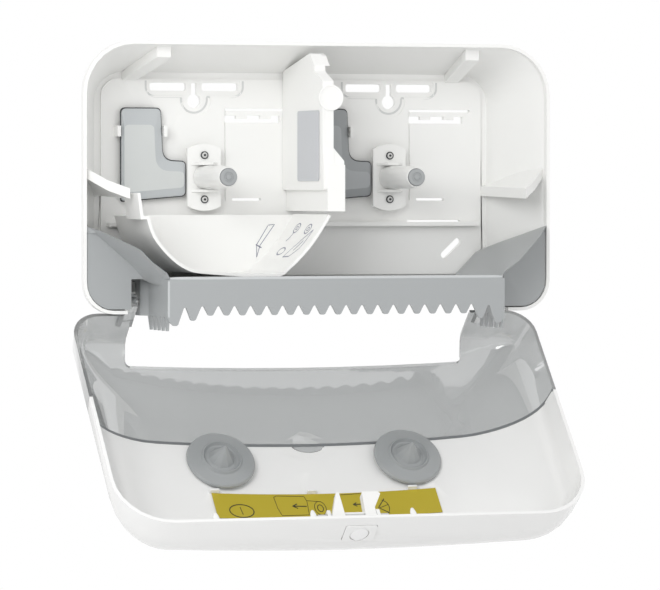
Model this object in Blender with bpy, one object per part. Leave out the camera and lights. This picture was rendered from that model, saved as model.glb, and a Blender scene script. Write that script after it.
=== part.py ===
"""Dispenser for two coreless toilet rolls, hung on a wall and standing open.

Metres, +Z up. The wall is the plane Y = 0 and the user stands at -Y, so a depth is a
distance from the wall and lies at Y = -depth. X = 0 is the middle between the two rolls
and Z = 0 is the height of the spindles. The cover is drawn shut, under an empty on its
hinge axis, and the empty is turned to the open pose.
"""
import math

import bmesh
import bpy
from mathutils import Matrix, Vector

MM = 0.001

# Clearances
seat_gap = 0.3 * MM
overrun = 2.0 * MM
weld_depth = 0.5 * MM

# Back housing: an open pan whose walls lean outward from the wall plane to the rim
shell_wall = 2.5 * MM
rim_depth = 67.0 * MM
rim_half_width = 181.2 * MM
rim_top = 99.0 * MM
rim_bottom = 99.5 * MM
rim_top_radius = 38.5 * MM
rim_bottom_radius = 23.0 * MM
rear_half_width = 156.5 * MM
rear_top = 79.5 * MM
rear_bottom = 79.5 * MM
rear_top_radius = 24.0 * MM
rear_bottom_radius = 14.0 * MM
rim_band = 7.0 * MM
rim_band_step = 0.8 * MM

# Raised mounting panel in the floor of the pan
panel_rise = 1.8 * MM
panel_half_width = 150.0 * MM
panel_half_height = 73.0 * MM
panel_radius = 13.0 * MM

# Fixing slots of the panel, measured from the keyhole between them
fixing_left_x = 78.0 * MM
fixing_right_x = 75.7 * MM
slot_radius = 1.6 * MM
fixing_slot_length = 28.0 * MM
fixing_slot_height = 5.8 * MM
fixing_slot_offset = 20.2 * MM
fixing_slot_z = 67.1 * MM
keyhole_slot_width = 4.2 * MM
keyhole_top = 69.9 * MM
keyhole_z = 56.6 * MM
keyhole_radius = 5.2 * MM
pocket_half_width = 36.0 * MM
pocket_top = 72.0 * MM
pocket_bottom = 60.5 * MM
pocket_bulge_radius = 11.0 * MM
pocket_depth = 0.9 * MM

# Window of thin slots on the outer side of each spindle
frame_left = 92.0 * MM
frame_right = 141.0 * MM
frame_top = 51.2 * MM
frame_bottom = 17.4 * MM
thin_slot = 1.8 * MM
middle_slot_z = 43.4 * MM
middle_slot_height = 5.2 * MM
middle_slot_length = 43.1 * MM
tongue_width = 8.1 * MM
tongue_length = 2.5 * MM
tongue_pitch = 18.9 * MM
foot_slot_length = 22.5 * MM
long_slot_left = 90.3 * MM
long_slot_right = 133.1 * MM
long_slot_z = 33.1 * MM
slant_slot_x = 125.8 * MM
slant_slot_z = 53.4 * MM
slant_slot_length = 20.0 * MM
slant_slot_width = 5.2 * MM
slant_slot_angle = math.radians(43.0)

# Rail along the panel that carries the shutter
rail_z = 35.0 * MM
rail_height = 3.0 * MM
rail_depth = 12.0 * MM
rail_half_length = 146.0 * MM

# Hooks under the top wall and fins on the side walls
hook_width = 10.5 * MM
hook_left_x = 117.7 * MM
hook_right_x = 122.5 * MM
hook_drop = 12.5 * MM
hook_splay = 11.0 * MM
fin_rear_z = -6.4 * MM
fin_root_z = 7.0 * MM
fin_tip_x = 153.0 * MM
fin_tip_depth = 90.0 * MM
fin_tip_drop = 2.0 * MM
fin_height = 7.4 * MM
fin_steps = 6
hook_wall = 3.0 * MM

# Hinge of the cover
hinge_depth = 47.0 * MM
hinge_z = 91.0 * MM
open_angle = math.radians(137.0)
pin_radius = 2.2 * MM
rib_outer_x = 147.7 * MM

# Smoothness of rounded corners
corner_steps = 7
circle_steps = 24


def clear_scene():
    for item in list(bpy.data.objects):
        bpy.data.objects.remove(item, do_unlink=True)


def principled(name, colour, roughness, metallic=0.0, alpha=1.0):
    material = bpy.data.materials.new(name)
    material.use_nodes = True
    shader = material.node_tree.nodes["Principled BSDF"]
    shader.inputs["Base Color"].default_value = (*colour, 1.0)
    shader.inputs["Roughness"].default_value = roughness
    shader.inputs["Metallic"].default_value = metallic
    shader.inputs["Alpha"].default_value = alpha
    material.diffuse_color = (*colour, alpha)
    return material


def at(x, depth, z):
    """A point given by its distance from the wall."""
    return Vector((x, -depth, z))


def close_up(bm):
    """Merge coincident points and turn every face outward."""
    bmesh.ops.remove_doubles(bm, verts=bm.verts, dist=0.01 * seat_gap)
    bmesh.ops.recalc_face_normals(bm, faces=bm.faces)
    return bm


def facets(bm):
    """Split every face into triangles, so that each one is flat."""
    bmesh.ops.triangulate(bm, faces=bm.faces)
    return bm


def loft(rings, closed=False):
    """Skin a list of rings of equal length; the ends are capped, or joined when closed."""
    bm = bmesh.new()
    loops = [[bm.verts.new(point) for point in ring] for ring in rings]
    count = len(loops[0])
    pairs = list(zip(loops, loops[1:]))
    if closed:
        pairs.append((loops[-1], loops[0]))
    for low, high in pairs:
        for i in range(count):
            j = (i + 1) % count
            bm.faces.new((low[i], low[j], high[j], high[i]))
    if not closed:
        bm.faces.new(loops[0])
        bm.faces.new(loops[-1])
    return close_up(bm)


def rounded(points, radius, steps=3):
    """A polygon of (a, b) points with its corners rounded; radius is one value or a list."""
    outline = []
    count = len(points)
    for i in range(count):
        r = radius[i] if isinstance(radius, (list, tuple)) else radius
        here = Vector(points[i])
        back = Vector(points[i - 1]) - here
        ahead = Vector(points[(i + 1) % count]) - here
        turn = back.angle(ahead)
        reach = min(r / math.tan(turn / 2.0), 0.49 * back.length, 0.49 * ahead.length)
        if reach <= 0.05 * seat_gap or turn > math.radians(179.0):
            outline.append(here)
            continue
        real = reach * math.tan(turn / 2.0)
        middle = here + (back.normalized() + ahead.normalized()).normalized() * (
            real / math.sin(turn / 2.0))
        start = here + back.normalized() * reach - middle
        end = here + ahead.normalized() * reach - middle
        swing = start.angle_signed(end)
        for k in range(steps + 1):
            spin = Matrix.Rotation(-swing * k / steps, 2)
            outline.append(middle + spin @ start)
    return outline


def slab(outline, plane, low, high):
    """Extrude an outline. Plane XZ runs over depths, DZ over X and XD over Z."""
    def place(a, b, c):
        if plane == "XZ":
            return at(a, c, b)
        if plane == "DZ":
            return at(c, a, b)
        return at(a, b, c)
    return loft([[place(p[0], p[1], low) for p in outline],
                 [place(p[0], p[1], high) for p in outline]])


def box(x0, x1, depth0, depth1, z0, z1):
    return slab([(x0, z0), (x1, z0), (x1, z1), (x0, z1)], "XZ", depth0, depth1)


def circle(radius, centre=(0.0, 0.0), steps=circle_steps):
    return [(centre[0] + radius * math.cos(math.tau * k / steps),
             centre[1] + radius * math.sin(math.tau * k / steps)) for k in range(steps)]


def turned(profile, centre, direction, steps=circle_steps):
    """Spin a closed (radius, height) profile about a line through centre."""
    up = Vector(direction).normalized()
    side = up.orthogonal().normalized()
    other = up.cross(side)
    rings = []
    for k in range(steps):
        angle = math.tau * k / steps
        out = side * math.cos(angle) + other * math.sin(angle)
        rings.append([centre + out * r + up * h for r, h in profile])
    bm = bmesh.new()
    loops = [[bm.verts.new(point) for point in ring] for ring in rings]
    count = len(profile)
    for k in range(steps):
        low = loops[k]
        high = loops[(k + 1) % steps]
        for i in range(count):
            j = (i + 1) % count
            bm.faces.new((low[i], low[j], high[j], high[i]))
    bmesh.ops.remove_doubles(bm, verts=bm.verts, dist=0.01 * seat_gap)
    bmesh.ops.dissolve_degenerate(bm, edges=bm.edges, dist=0.01 * seat_gap)
    wires = [edge for edge in bm.edges if not edge.link_faces]
    bmesh.ops.delete(bm, geom=wires, context="EDGES")
    bmesh.ops.recalc_face_normals(bm, faces=bm.faces)
    return bm


def hull(points):
    bm = bmesh.new()
    for point in points:
        bm.verts.new(point)
    result = bmesh.ops.convex_hull(bm, input=bm.verts)
    loose = [v for v in bm.verts if not v.link_faces]
    bmesh.ops.delete(bm, geom=loose, context="VERTS")
    return close_up(bm)


def piece(name, bm, material=None, origin=None, parent=None, smooth=math.radians(32.0)):
    """Make an object from a bmesh drawn in place; without a material it is a hidden cutter."""
    origin = origin or Vector((0.0, 0.0, 0.0))
    base = parent.location if parent else Vector((0.0, 0.0, 0.0))
    mesh = bpy.data.meshes.new(name)
    bmesh.ops.translate(bm, verts=bm.verts, vec=-(origin if material else base))
    bm.to_mesh(mesh)
    bm.free()
    item = bpy.data.objects.new(name, mesh)
    bpy.context.scene.collection.objects.link(item)
    item.parent = parent
    if material:
        item.location = origin - base
        mesh.materials.append(material)
        mesh.shade_smooth()
        mesh.set_sharp_from_angle(angle=smooth)
    else:
        item.hide_render = True
        item.display_type = "WIRE"
    return item


def change(item, operation, bm, parent=None):
    """Add one Boolean step with a hidden tool shape."""
    tool = bm if isinstance(bm, bpy.types.Object) else piece(item.name + "_tool", bm, None,
                                                            parent=parent)
    step = item.modifiers.new(operation.lower(), "BOOLEAN")
    step.operation = operation
    step.solver = "EXACT"
    step.object = tool
    return item


def cut(item, *shapes, parent=None):
    for shape in shapes:
        change(item, "DIFFERENCE", shape, parent)


def join(item, *shapes, parent=None):
    for shape in shapes:
        change(item, "UNION", shape, parent)


def frame_ring(depth, half_width, top, bottom, top_radius, bottom_radius, runs=1):
    """A rounded rectangle parallel to the wall, from the right side round by the top.

    The straight runs along the top and the bottom are divided into equal steps.
    """
    points = []
    corners = [(half_width - top_radius, top - top_radius, top_radius, 0.0),
               (-half_width + top_radius, top - top_radius, top_radius, 0.5),
               (-half_width + bottom_radius, bottom_radius - bottom, bottom_radius, 1.0),
               (half_width - bottom_radius, bottom_radius - bottom, bottom_radius, 1.5)]
    for cx, cz, radius, turn in corners:
        for k in range(corner_steps + 1):
            angle = math.pi * (turn + 0.5 * k / corner_steps)
            points.append(at(cx + radius * math.cos(angle), depth,
                             cz + radius * math.sin(angle)))
        if turn in (0.0, 1.0):
            start = points[-1]
            end = Vector((-start.x, start.y, start.z))
            points += [start.lerp(end, k / runs) for k in range(1, runs)]
    return points


def blend(a, b, t):
    return a + (b - a) * t


def shell_ring(depth, inset=0.0, sink=0.0):
    """Ring of the back housing at a depth, moved inward by inset."""
    t = min(max(depth / (rim_depth - rim_band), 0.0), 1.0)
    step = rim_band_step * (1.0 if depth > rim_depth - rim_band + 0.5 * weld_depth else 0.0)
    side = blend(rear_half_width, rim_half_width - rim_band_step, t) + step - inset
    top = blend(rear_top, rim_top - rim_band_step, t) + step - inset
    bottom = blend(rear_bottom, rim_bottom - rim_band_step, t) + step - inset
    top_radius = max(blend(rear_top_radius, rim_top_radius, t) - inset, shell_wall)
    bottom_radius = max(blend(rear_bottom_radius, rim_bottom_radius, t) - inset, shell_wall)
    return frame_ring(depth - sink, side, top, bottom, top_radius, bottom_radius)


clear_scene()

white = principled("white_plastic", (0.86, 0.87, 0.88), 0.35)
grey = principled("grey_plastic", (0.36, 0.37, 0.38), 0.42)
pale_grey = principled("pale_grey_plastic", (0.55, 0.56, 0.57), 0.4)
smoke = principled("smoke_plastic", (0.42, 0.44, 0.46), 0.12, alpha=0.55)
steel = principled("steel", (0.62, 0.62, 0.62), 0.28, 1.0)
olive = principled("olive_label", (0.46, 0.39, 0.02), 0.5)
paper = principled("grey_label", (0.5, 0.51, 0.53), 0.6)

hinge_point = at(0.0, hinge_depth, -hinge_z)
x_axis = Vector((1.0, 0.0, 0.0))
out_axis = Vector((0.0, -1.0, 0.0))
panel_face = shell_wall + panel_rise

# Back housing

shell_depths = [0.0, 0.5 * (rim_depth - rim_band), rim_depth - rim_band,
                rim_depth - rim_band + weld_depth + weld_depth, rim_depth]
outer_rings = [shell_ring(d) for d in shell_depths]
inner_rings = [shell_ring(d, shell_wall) for d in reversed(shell_depths[1:])]
inner_rings.append(shell_ring(shell_wall, shell_wall))
back_shell = piece("back_shell", loft(outer_rings + inner_rings), white)


def panel_outline(shrink=0.0):
    w = panel_half_width - shrink
    h = panel_half_height - shrink
    return rounded([(-w, h), (w, h), (w, -h), (-w, -h)], panel_radius - shrink, 5)


join(back_shell, slab(panel_outline(), "XZ", 0.5 * shell_wall, panel_face))
join(back_shell, box(-rail_half_length, rail_half_length, 0.5 * shell_wall, rail_depth,
                     -rail_z - 0.5 * rail_height, -rail_z + 0.5 * rail_height))


def wall_half_width(depth):
    return blend(rear_half_width, rim_half_width - rim_band_step,
                 depth / (rim_depth - rim_band)) - shell_wall


def fin(side):
    """A shelf on the side wall that rises towards the rim and guides the roll's edge."""
    rings = []
    for k in range(fin_steps + 1):
        s = k / fin_steps
        inner_depth = blend(shell_wall - weld_depth, fin_tip_depth, s)
        root_depth = blend(shell_wall - weld_depth, rim_depth - rim_band, s)
        inner_x = blend(panel_half_width, fin_tip_x, s)
        root_x = wall_half_width(root_depth) + weld_depth
        inner_z = blend(fin_rear_z, fin_rear_z - fin_tip_drop, s)
        root_z = blend(fin_rear_z, fin_root_z, math.sin(0.5 * math.pi * s))
        mid_depth = blend(inner_depth, root_depth, 0.5)
        ring = [(inner_x, inner_depth, inner_z),
                (blend(inner_x, root_x, 0.5), mid_depth, blend(inner_z, root_z, 0.4)),
                (root_x, root_depth, root_z), (root_x, root_depth, root_z - fin_height),
                (blend(inner_x, root_x, 0.5), mid_depth,
                 blend(inner_z, root_z, 0.4) - fin_height),
                (inner_x, inner_depth, inner_z - fin_height)]
        rings.append([at(side * x, d, z) for x, d, z in ring])
    return loft(rings)


for side in (-1.0, 1.0):
    join(back_shell, fin(side))

for x, lean in ((-hook_left_x, -1.0), (hook_right_x, 1.0)):
    half = 0.5 * hook_width
    roof = rim_top - shell_wall + 0.5 * weld_depth
    rear_roof = rear_top - shell_wall + 0.5 * weld_depth
    deep_x = x + lean * hook_splay * (1.0 if lean < 0.0 else 0.35)
    front = rim_depth - rim_band - overrun
    join(back_shell, hull([
        at(x - half, front, roof), at(x + half, front, roof),
        at(x - half, front - hook_width, roof - hook_drop),
        at(x + half, front - hook_width, roof - hook_drop),
        at(x - half, front, roof - hook_drop + hook_wall),
        at(x + half, front, roof - hook_drop + hook_wall),
        at(deep_x - half, shell_wall - weld_depth, rear_roof),
        at(deep_x + half, shell_wall - weld_depth, rear_roof),
        at(deep_x - half, shell_wall - weld_depth, panel_half_height - overrun),
        at(deep_x + half, shell_wall - weld_depth, panel_half_height - overrun)]))

# The bottom wall stops short of the rim between the hinge ears
ear_gap_x = rib_outer_x + seat_gap
bottom_cut_depth = 24.0 * MM
cut(back_shell, box(-ear_gap_x, ear_gap_x, bottom_cut_depth, rim_depth + overrun,
                    -rim_bottom - overrun, -panel_half_height - overrun - overrun))

# Slots of the panel
spindle_x = 73.0 * MM
through0 = -overrun
through1 = panel_face + overrun


def slot_outline(x, z, length, height, radius, angle=0.0):
    l = 0.5 * length
    h = 0.5 * height
    points = rounded([(-l, h), (l, h), (l, -h), (-l, -h)], radius, 3)
    c = math.cos(angle)
    s = math.sin(angle)
    return [(x + p[0] * c - p[1] * s, z + p[0] * s + p[1] * c) for p in points]


for spindle, centre in ((-spindle_x, -fixing_left_x), (spindle_x, fixing_right_x)):
    pocket = slab(slot_outline(centre, 0.5 * (pocket_top + pocket_bottom),
                               pocket_half_width + pocket_half_width,
                               pocket_top - pocket_bottom, slot_radius), "XZ",
                  panel_face - pocket_depth, through1)
    cut(back_shell, pocket)
    cut(back_shell, slab(circle(pocket_bulge_radius, (centre + thin_slot, keyhole_z)), "XZ",
                         panel_face - pocket_depth, through1))
    for shift in (-fixing_slot_offset, fixing_slot_offset):
        cut(back_shell, slab(slot_outline(centre + shift, fixing_slot_z, fixing_slot_length,
                                          fixing_slot_height, slot_radius), "XZ",
                             through0, through1))
    keyhole = circle(keyhole_radius, (centre, keyhole_z), 16)
    half = 0.5 * keyhole_slot_width
    rise = math.acos(half / keyhole_radius)
    arc = []
    for k in range(17):
        angle = rise - (math.tau - math.pi + rise + rise) * k / 16.0
        arc.append((centre + keyhole_radius * math.cos(angle),
                    keyhole_z + keyhole_radius * math.sin(angle)))
    keyhole = arc + [(centre - half, keyhole_top), (centre + half, keyhole_top)]
    cut(back_shell, slab(keyhole, "XZ", through0, through1))
    inner = spindle - spindle_x
    frame_middle = inner + 0.5 * (frame_left + frame_right)
    cut(back_shell, slab(slot_outline(frame_middle, frame_top - 0.5 * thin_slot,
                                      frame_right - frame_left, thin_slot,
                                      0.4 * thin_slot), "XZ", through0, through1))
    half_long = 0.5 * middle_slot_length
    low = middle_slot_z - 0.5 * middle_slot_height
    high = middle_slot_z + 0.5 * middle_slot_height
    left = inner + frame_left + half_long
    comb = [(left - half_long, high)]
    for tongue in (-0.5, 0.5):
        x = left + tongue * tongue_pitch + 0.5 * thin_slot
        comb += [(x - 0.5 * tongue_width, high), (x - 0.5 * tongue_width, high - tongue_length),
                 (x + 0.5 * tongue_width, high - tongue_length), (x + 0.5 * tongue_width, high)]
    comb += [(left + half_long, high), (left + half_long, low), (left - half_long, low)]
    cut(back_shell, slab(comb, "XZ", through0, through1))
    cut(back_shell, slab(slot_outline(inner + frame_left + 0.75 * foot_slot_length,
                                      -frame_bottom + 0.5 * thin_slot, foot_slot_length,
                                      thin_slot, 0.4 * thin_slot), "XZ",
                         through0, through1))
    cut(back_shell, slab(slot_outline(inner + 0.5 * (long_slot_left + long_slot_right),
                                      -long_slot_z, long_slot_right - long_slot_left,
                                      thin_slot, 0.4 * thin_slot), "XZ",
                         through0, through1))
    cut(back_shell, slab(slot_outline(inner + frame_left, 0.5 * (frame_top - frame_bottom),
                                      0.5 * thin_slot, frame_top + frame_bottom,
                                      0.1 * thin_slot), "XZ",
                         panel_face - pocket_depth, through1))
cut(back_shell, slab(slot_outline(slant_slot_x, -slant_slot_z, slant_slot_length,
                                  slant_slot_width, 0.45 * slant_slot_width,
                                  slant_slot_angle), "XZ", through0, through1))

# Spindle brackets: a plate on a foot, held by two screws, with the fixed axle
bracket_half_width = 13.0 * MM
bracket_half_height = 25.0 * MM
bracket_face = 13.5 * MM
bracket_plate = 3.0 * MM
bracket_foot_half_width = 10.0 * MM
cheek_half_height = 11.0 * MM
cheek_wall = 2.0 * MM
cheek_depth = 22.0 * MM
cheek_half_width = 10.5 * MM
screw_z = 16.4 * MM
screw_head_radius = 2.9 * MM
screw_head_height = 1.6 * MM
screw_shank_radius = 1.5 * MM
screw_length = 7.0 * MM
screw_slot = 0.8 * MM
axle_radius = 3.0 * MM
collar_radius = 8.7 * MM
collar_start = 14.5 * MM
collar_end = 30.0 * MM
sleeve_radius = 8.4 * MM
sleeve_taper = 58.0 * MM
sleeve_tip_radius = 7.3 * MM
sleeve_end = 72.0 * MM
spindle_tip = 74.0 * MM
cap_radius = 6.4 * MM
cap_recess = 4.0 * MM


def disc_outline(cx):
    """A round plate cut off at both sides."""
    reach = math.asin(bracket_half_width / bracket_half_height)
    points = []
    for turn in (0.0, math.pi):
        for k in range(9):
            angle = turn + math.pi / 2.0 - reach + (reach + reach) * k / 8.0
            points.append((cx + bracket_half_height * math.cos(angle),
                           bracket_half_height * math.sin(angle)))
    return points


def cross_slot(centre, direction_sign=-1.0):
    """The two crossed recesses in a screw head."""
    reach = 0.65 * screw_head_radius
    half = 0.5 * screw_slot
    x = centre.x
    z = centre.z
    d = -centre.y
    shape = [(x - reach, z + half), (x - half, z + half), (x - half, z + reach),
             (x + half, z + reach), (x + half, z + half), (x + reach, z + half),
             (x + reach, z - half), (x + half, z - half), (x + half, z - reach),
             (x - half, z - reach), (x - half, z - half), (x - reach, z - half)]
    return slab(shape, "XZ", d - screw_slot, d + overrun)


cap_rear = sleeve_end - cap_recess
for name, centre in (("left", -spindle_x), ("right", spindle_x)):
    bracket = piece("spindle_bracket_" + name,
                    slab(disc_outline(centre), "XZ", bracket_face - bracket_plate,
                         bracket_face), white)
    foot = slot_outline(centre, 0.0, bracket_foot_half_width + bracket_foot_half_width,
                        1.72 * bracket_half_height, cheek_wall)
    join(bracket, slab(foot, "XZ", panel_face + seat_gap, bracket_face - 0.5 * bracket_plate))
    for sign in (-1.0, 1.0):
        z0 = sign * cheek_half_height
        z1 = sign * (cheek_half_height - cheek_wall)
        join(bracket, hull([at(centre - cheek_half_width, bracket_face - weld_depth, z0),
                            at(centre - cheek_half_width, bracket_face - weld_depth, z1),
                            at(centre + cheek_half_width, bracket_face - weld_depth, z0),
                            at(centre + cheek_half_width, bracket_face - weld_depth, z1),
                            at(centre - 0.4 * cheek_half_width, cheek_depth, z0),
                            at(centre - 0.4 * cheek_half_width, cheek_depth, z1),
                            at(centre + 0.4 * cheek_half_width, cheek_depth, z0),
                            at(centre + 0.4 * cheek_half_width, cheek_depth, z1)]))
    axle = [(0.0, bracket_face - weld_depth), (axle_radius, bracket_face - weld_depth),
            (axle_radius, cap_rear - seat_gap), (0.0, cap_rear - seat_gap)]
    join(bracket, turned(axle, at(centre, 0.0, 0.0), out_axis))
    head = bracket_face + seat_gap
    bore = screw_shank_radius + seat_gap
    for label, z in (("upper", screw_z), ("lower", -screw_z)):
        cut(bracket, turned([(0.0, bracket_face - screw_length), (bore, bracket_face
                             - screw_length), (bore, bracket_face + overrun),
                             (0.0, bracket_face + overrun)], at(centre, 0.0, z), out_axis, 12))
        screw = piece("bracket_screw_" + name + "_" + label, turned([
            (0.0, bracket_face - screw_length + seat_gap),
            (screw_shank_radius, bracket_face - screw_length + seat_gap),
            (screw_shank_radius, head), (screw_head_radius, head),
            (screw_head_radius, head + 0.4 * screw_head_height),
            (0.6 * screw_head_radius, head + screw_head_height),
            (0.0, head + screw_head_height)], at(centre, 0.0, z), out_axis, 16), steel)
        cut(screw, cross_slot(at(centre, head + screw_head_height, z)))
    bore = axle_radius + seat_gap
    sleeve = piece("spindle_sleeve_" + name, turned([
        (bore, collar_start), (collar_radius, collar_start),
        (collar_radius, blend(collar_start, collar_end, 0.75)),
        (sleeve_radius, collar_end), (sleeve_radius, sleeve_taper),
        (sleeve_tip_radius, sleeve_end - seat_gap), (sleeve_tip_radius - seat_gap, sleeve_end),
        (cap_radius + seat_gap, sleeve_end), (cap_radius + seat_gap, cap_rear - seat_gap),
        (bore, cap_rear - seat_gap)], at(centre, 0.0, 0.0), out_axis), white,
        origin=at(centre, collar_start, 0.0))
    dome = [(0.0, cap_rear), (cap_radius, cap_rear), (cap_radius, sleeve_end),
            (0.93 * cap_radius, blend(sleeve_end, spindle_tip, 0.45)),
            (0.7 * cap_radius, blend(sleeve_end, spindle_tip, 0.8)), (0.0, spindle_tip)]
    piece("spindle_cap_" + name, turned(dome, at(centre, 0.0, 0.0), out_axis), grey,
          origin=at(centre, cap_rear, 0.0))

# Levers behind the rolls that sense how full they are
lever_x = -136.1 * MM
lever_width = 49.1 * MM
lever_top = 50.8 * MM
lever_bottom = 17.6 * MM
lever_rear = 9.2 * MM
lever_plate = 2.0 * MM
lever_rim = 3.0 * MM
lever_rim_rise = 2.2 * MM
lever_pitch = spindle_x + spindle_x
lever_pivot_z = 34.0 * MM
lever_pivot_depth = 11.2 * MM
lever_pivot_radius = 2.0 * MM
lever_lug_width = 2.6 * MM
lever_outline_shares = [(0.0, 0.99), (0.61, 1.0), (0.61, 0.47), (0.66, 0.435), (1.0, 0.43),
                        (1.0, 0.045), (0.33, 0.0), (0.0, 0.055)]
lever_height = lever_top + lever_bottom


def lever_outline(x0, shrink=0.0):
    points = [(x0 + shrink + a * (lever_width - shrink - shrink),
               -lever_bottom + shrink + b * (lever_height - shrink - shrink))
              for a, b in lever_outline_shares]
    return rounded(points, 2.2 * lever_plate, 3)


lug_height = 8.0 * MM
for name, x0 in (("left", lever_x), ("right", lever_x + lever_pitch)):
    pivot = at(x0 + 0.3 * lever_width, lever_pivot_depth, lever_pivot_z)
    body = slab(lever_outline(x0), "XZ", lever_rear, lever_rear + lever_plate + lever_rim_rise)
    lever = piece("roll_sensor_" + name, body, grey, origin=pivot)
    cut(lever, slab(lever_outline(x0, lever_rim), "XZ", lever_rear + lever_plate,
                    lever_rear + lever_plate + lever_rim_rise + overrun))
    inner = slab(lever_outline(x0, 1.6 * lever_rim), "XZ", lever_rear + 0.6 * lever_plate,
                 lever_rear + lever_plate + 0.6 * lever_rim_rise)
    join(lever, inner)
    ear0 = x0 - lever_lug_width
    ear1 = x0 + 0.61 * lever_width + lever_lug_width
    pin = turned([(0.0, 0.0), (lever_pivot_radius, 0.0), (lever_pivot_radius, ear1 - ear0),
                  (0.0, ear1 - ear0)], at(ear0, lever_pivot_depth, lever_pivot_z), x_axis, 12)
    join(lever, pin)
    for x in (ear0 - 0.6 * lever_lug_width, ear1 - 0.4 * lever_lug_width):
        lug = box(x, x + lever_lug_width, 0.5 * shell_wall,
                  lever_pivot_depth + lever_pivot_radius + lever_plate,
                  lever_pivot_z - 0.5 * lug_height, lever_pivot_z + 0.5 * lug_height)
        join(back_shell, lug)
    hole = lever_pivot_radius + seat_gap
    cut(back_shell, turned([(0.0, -seat_gap), (hole, -seat_gap),
                            (hole, ear1 - ear0 + seat_gap), (0.0, ear1 - ear0 + seat_gap)],
                           at(ear0, lever_pivot_depth, lever_pivot_z), x_axis, 12))

# Shutter: a half-round tray on the rail that closes off one roll and slides to the other
tray_rear = 15.0 * MM
tray_front = 97.0 * MM
tray_wall = 2.2 * MM
tray_left = -149.6 * MM
tray_right = -2.5 * MM
tray_top = 28.4 * MM
tray_tab_top = 11.6 * MM
tray_tab_width = 13.0 * MM
tray_tab_rear = 62.0 * MM
tray_floor = 72.7 * MM
tray_claw = 3.0 * MM
tray_claw_half = 60.0 * MM

# Half sections of the tray as shares of its half width and of its height
tray_left_shares = [(-0.91, 1.0), (-0.84, 0.66), (-0.68, 0.34), (-0.50, 0.13),
                    (-0.28, 0.055)]
tray_right_shares = [(0.40, 0.0), (0.58, 0.14), (0.77, 0.45), (0.90, 0.74), (1.0, 1.0)]


def smooth_path(points, steps=4):
    """Catmull-Rom points through a list of (a, b) points."""
    path = []
    count = len(points)
    for i in range(count - 1):
        p0 = Vector(points[max(i - 1, 0)])
        p1 = Vector(points[i])
        p2 = Vector(points[i + 1])
        p3 = Vector(points[min(i + 2, count - 1)])
        for k in range(steps):
            t = k / steps
            path.append(0.5 * (p1 + p1 + (p2 - p0) * t
                               + (p0 + p0 - 5.0 * p1 + 4.0 * p2 - p3) * t * t
                               + (3.0 * p1 - p0 - 3.0 * p2 + p3) * t ** 3))
    path.append(Vector(points[-1]))
    return path


def band(path, wall):
    """A strip of constant thickness on the left of a path, as a closed outline."""
    other = []
    for i, point in enumerate(path):
        along = (path[min(i + 1, len(path) - 1)] - path[max(i - 1, 0)]).normalized()
        other.append(point + Vector((-along.y, along.x)) * wall)
    return list(path) + other[::-1]


tray_half = 0.5 * (tray_right - tray_left)
tray_mid = 0.5 * (tray_right + tray_left)
tray_rise = tray_floor - tray_top
tray_points = [(tray_mid + a * tray_half, -tray_floor + b * tray_rise)
               for a, b in tray_left_shares + tray_right_shares]
tray_path = smooth_path(tray_points)
tray = piece("roll_shutter", slab(band(tray_path, tray_wall), "XZ", tray_rear, tray_front),
             white, origin=at(tray_mid, tray_rear, -rail_z))
ledge = [(tray_left + tray_tab_width * 0.2, -tray_top),
         (tray_points[0][0] + tray_wall, -tray_top),
         (tray_points[0][0] + tray_wall, -tray_top - tray_wall),
         (tray_left + tray_tab_width * 0.2, -tray_top - tray_wall)]
join(tray, slab(ledge, "XZ", tray_tab_rear, tray_front))
tab = [(tray_left, -tray_tab_top), (tray_left + tray_wall, -tray_tab_top),
       (tray_left + tray_tab_width * 0.2 + tray_wall, -tray_top - 0.5 * tray_wall),
       (tray_left + tray_tab_width * 0.2, -tray_top - tray_wall)]
join(tray, slab(tab, "XZ", tray_tab_rear, tray_front))

# Rear wall of the tray with the claw that rides on the rail
rear_wall = [Vector(p) for p in tray_path]
claw_low = -rail_z - 0.5 * rail_height
claw_high = -rail_z + 0.5 * rail_height
back_outline = [(p.x, p.y + weld_depth) for p in rear_wall]
join(tray, slab(back_outline, "XZ", tray_rear, tray_rear + tray_wall))
for z0, z1 in ((claw_low - seat_gap - tray_claw, claw_low - seat_gap),
               (claw_high + seat_gap, claw_high + seat_gap + tray_claw)):
    join(tray, box(tray_mid - 0.6 * tray_claw_half, tray_mid + tray_claw_half,
                   panel_face + seat_gap + seat_gap, tray_rear + weld_depth, z0, z1))

# Partition between the rolls
pillar_left_x = -9.0 * MM
pillar_right_x = -0.5 * MM
pillar_foot_left = -6.0 * MM
pillar_foot_right = 7.5 * MM
pillar_front = 97.0 * MM
pillar_foot_front = 99.5 * MM
pillar_shoulder_z = 70.0 * MM
pillar_neck_depth = 78.5 * MM
pillar_neck_z = 79.5 * MM
pillar_head_depth = 70.5 * MM
pillar_head_z = 91.0 * MM
pillar_split_z = 22.0 * MM
pillar_foot_z = 8.8 * MM
pillar_slope_z = 11.7 * MM
pillar_base_z = 9.5 * MM
pillar_bottom = 25.0 * MM
pillar_wall = 2.2 * MM
pillar_gusset_drop = 12.0 * MM
badge_z = 57.8 * MM
badge_radius = 9.5 * MM
badge_rise = 1.2 * MM
label_depth0 = 42.0 * MM
label_depth1 = 90.0 * MM
label_z0 = -2.9 * MM
label_z1 = 48.8 * MM
label_sheet = 0.5 * MM

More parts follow.
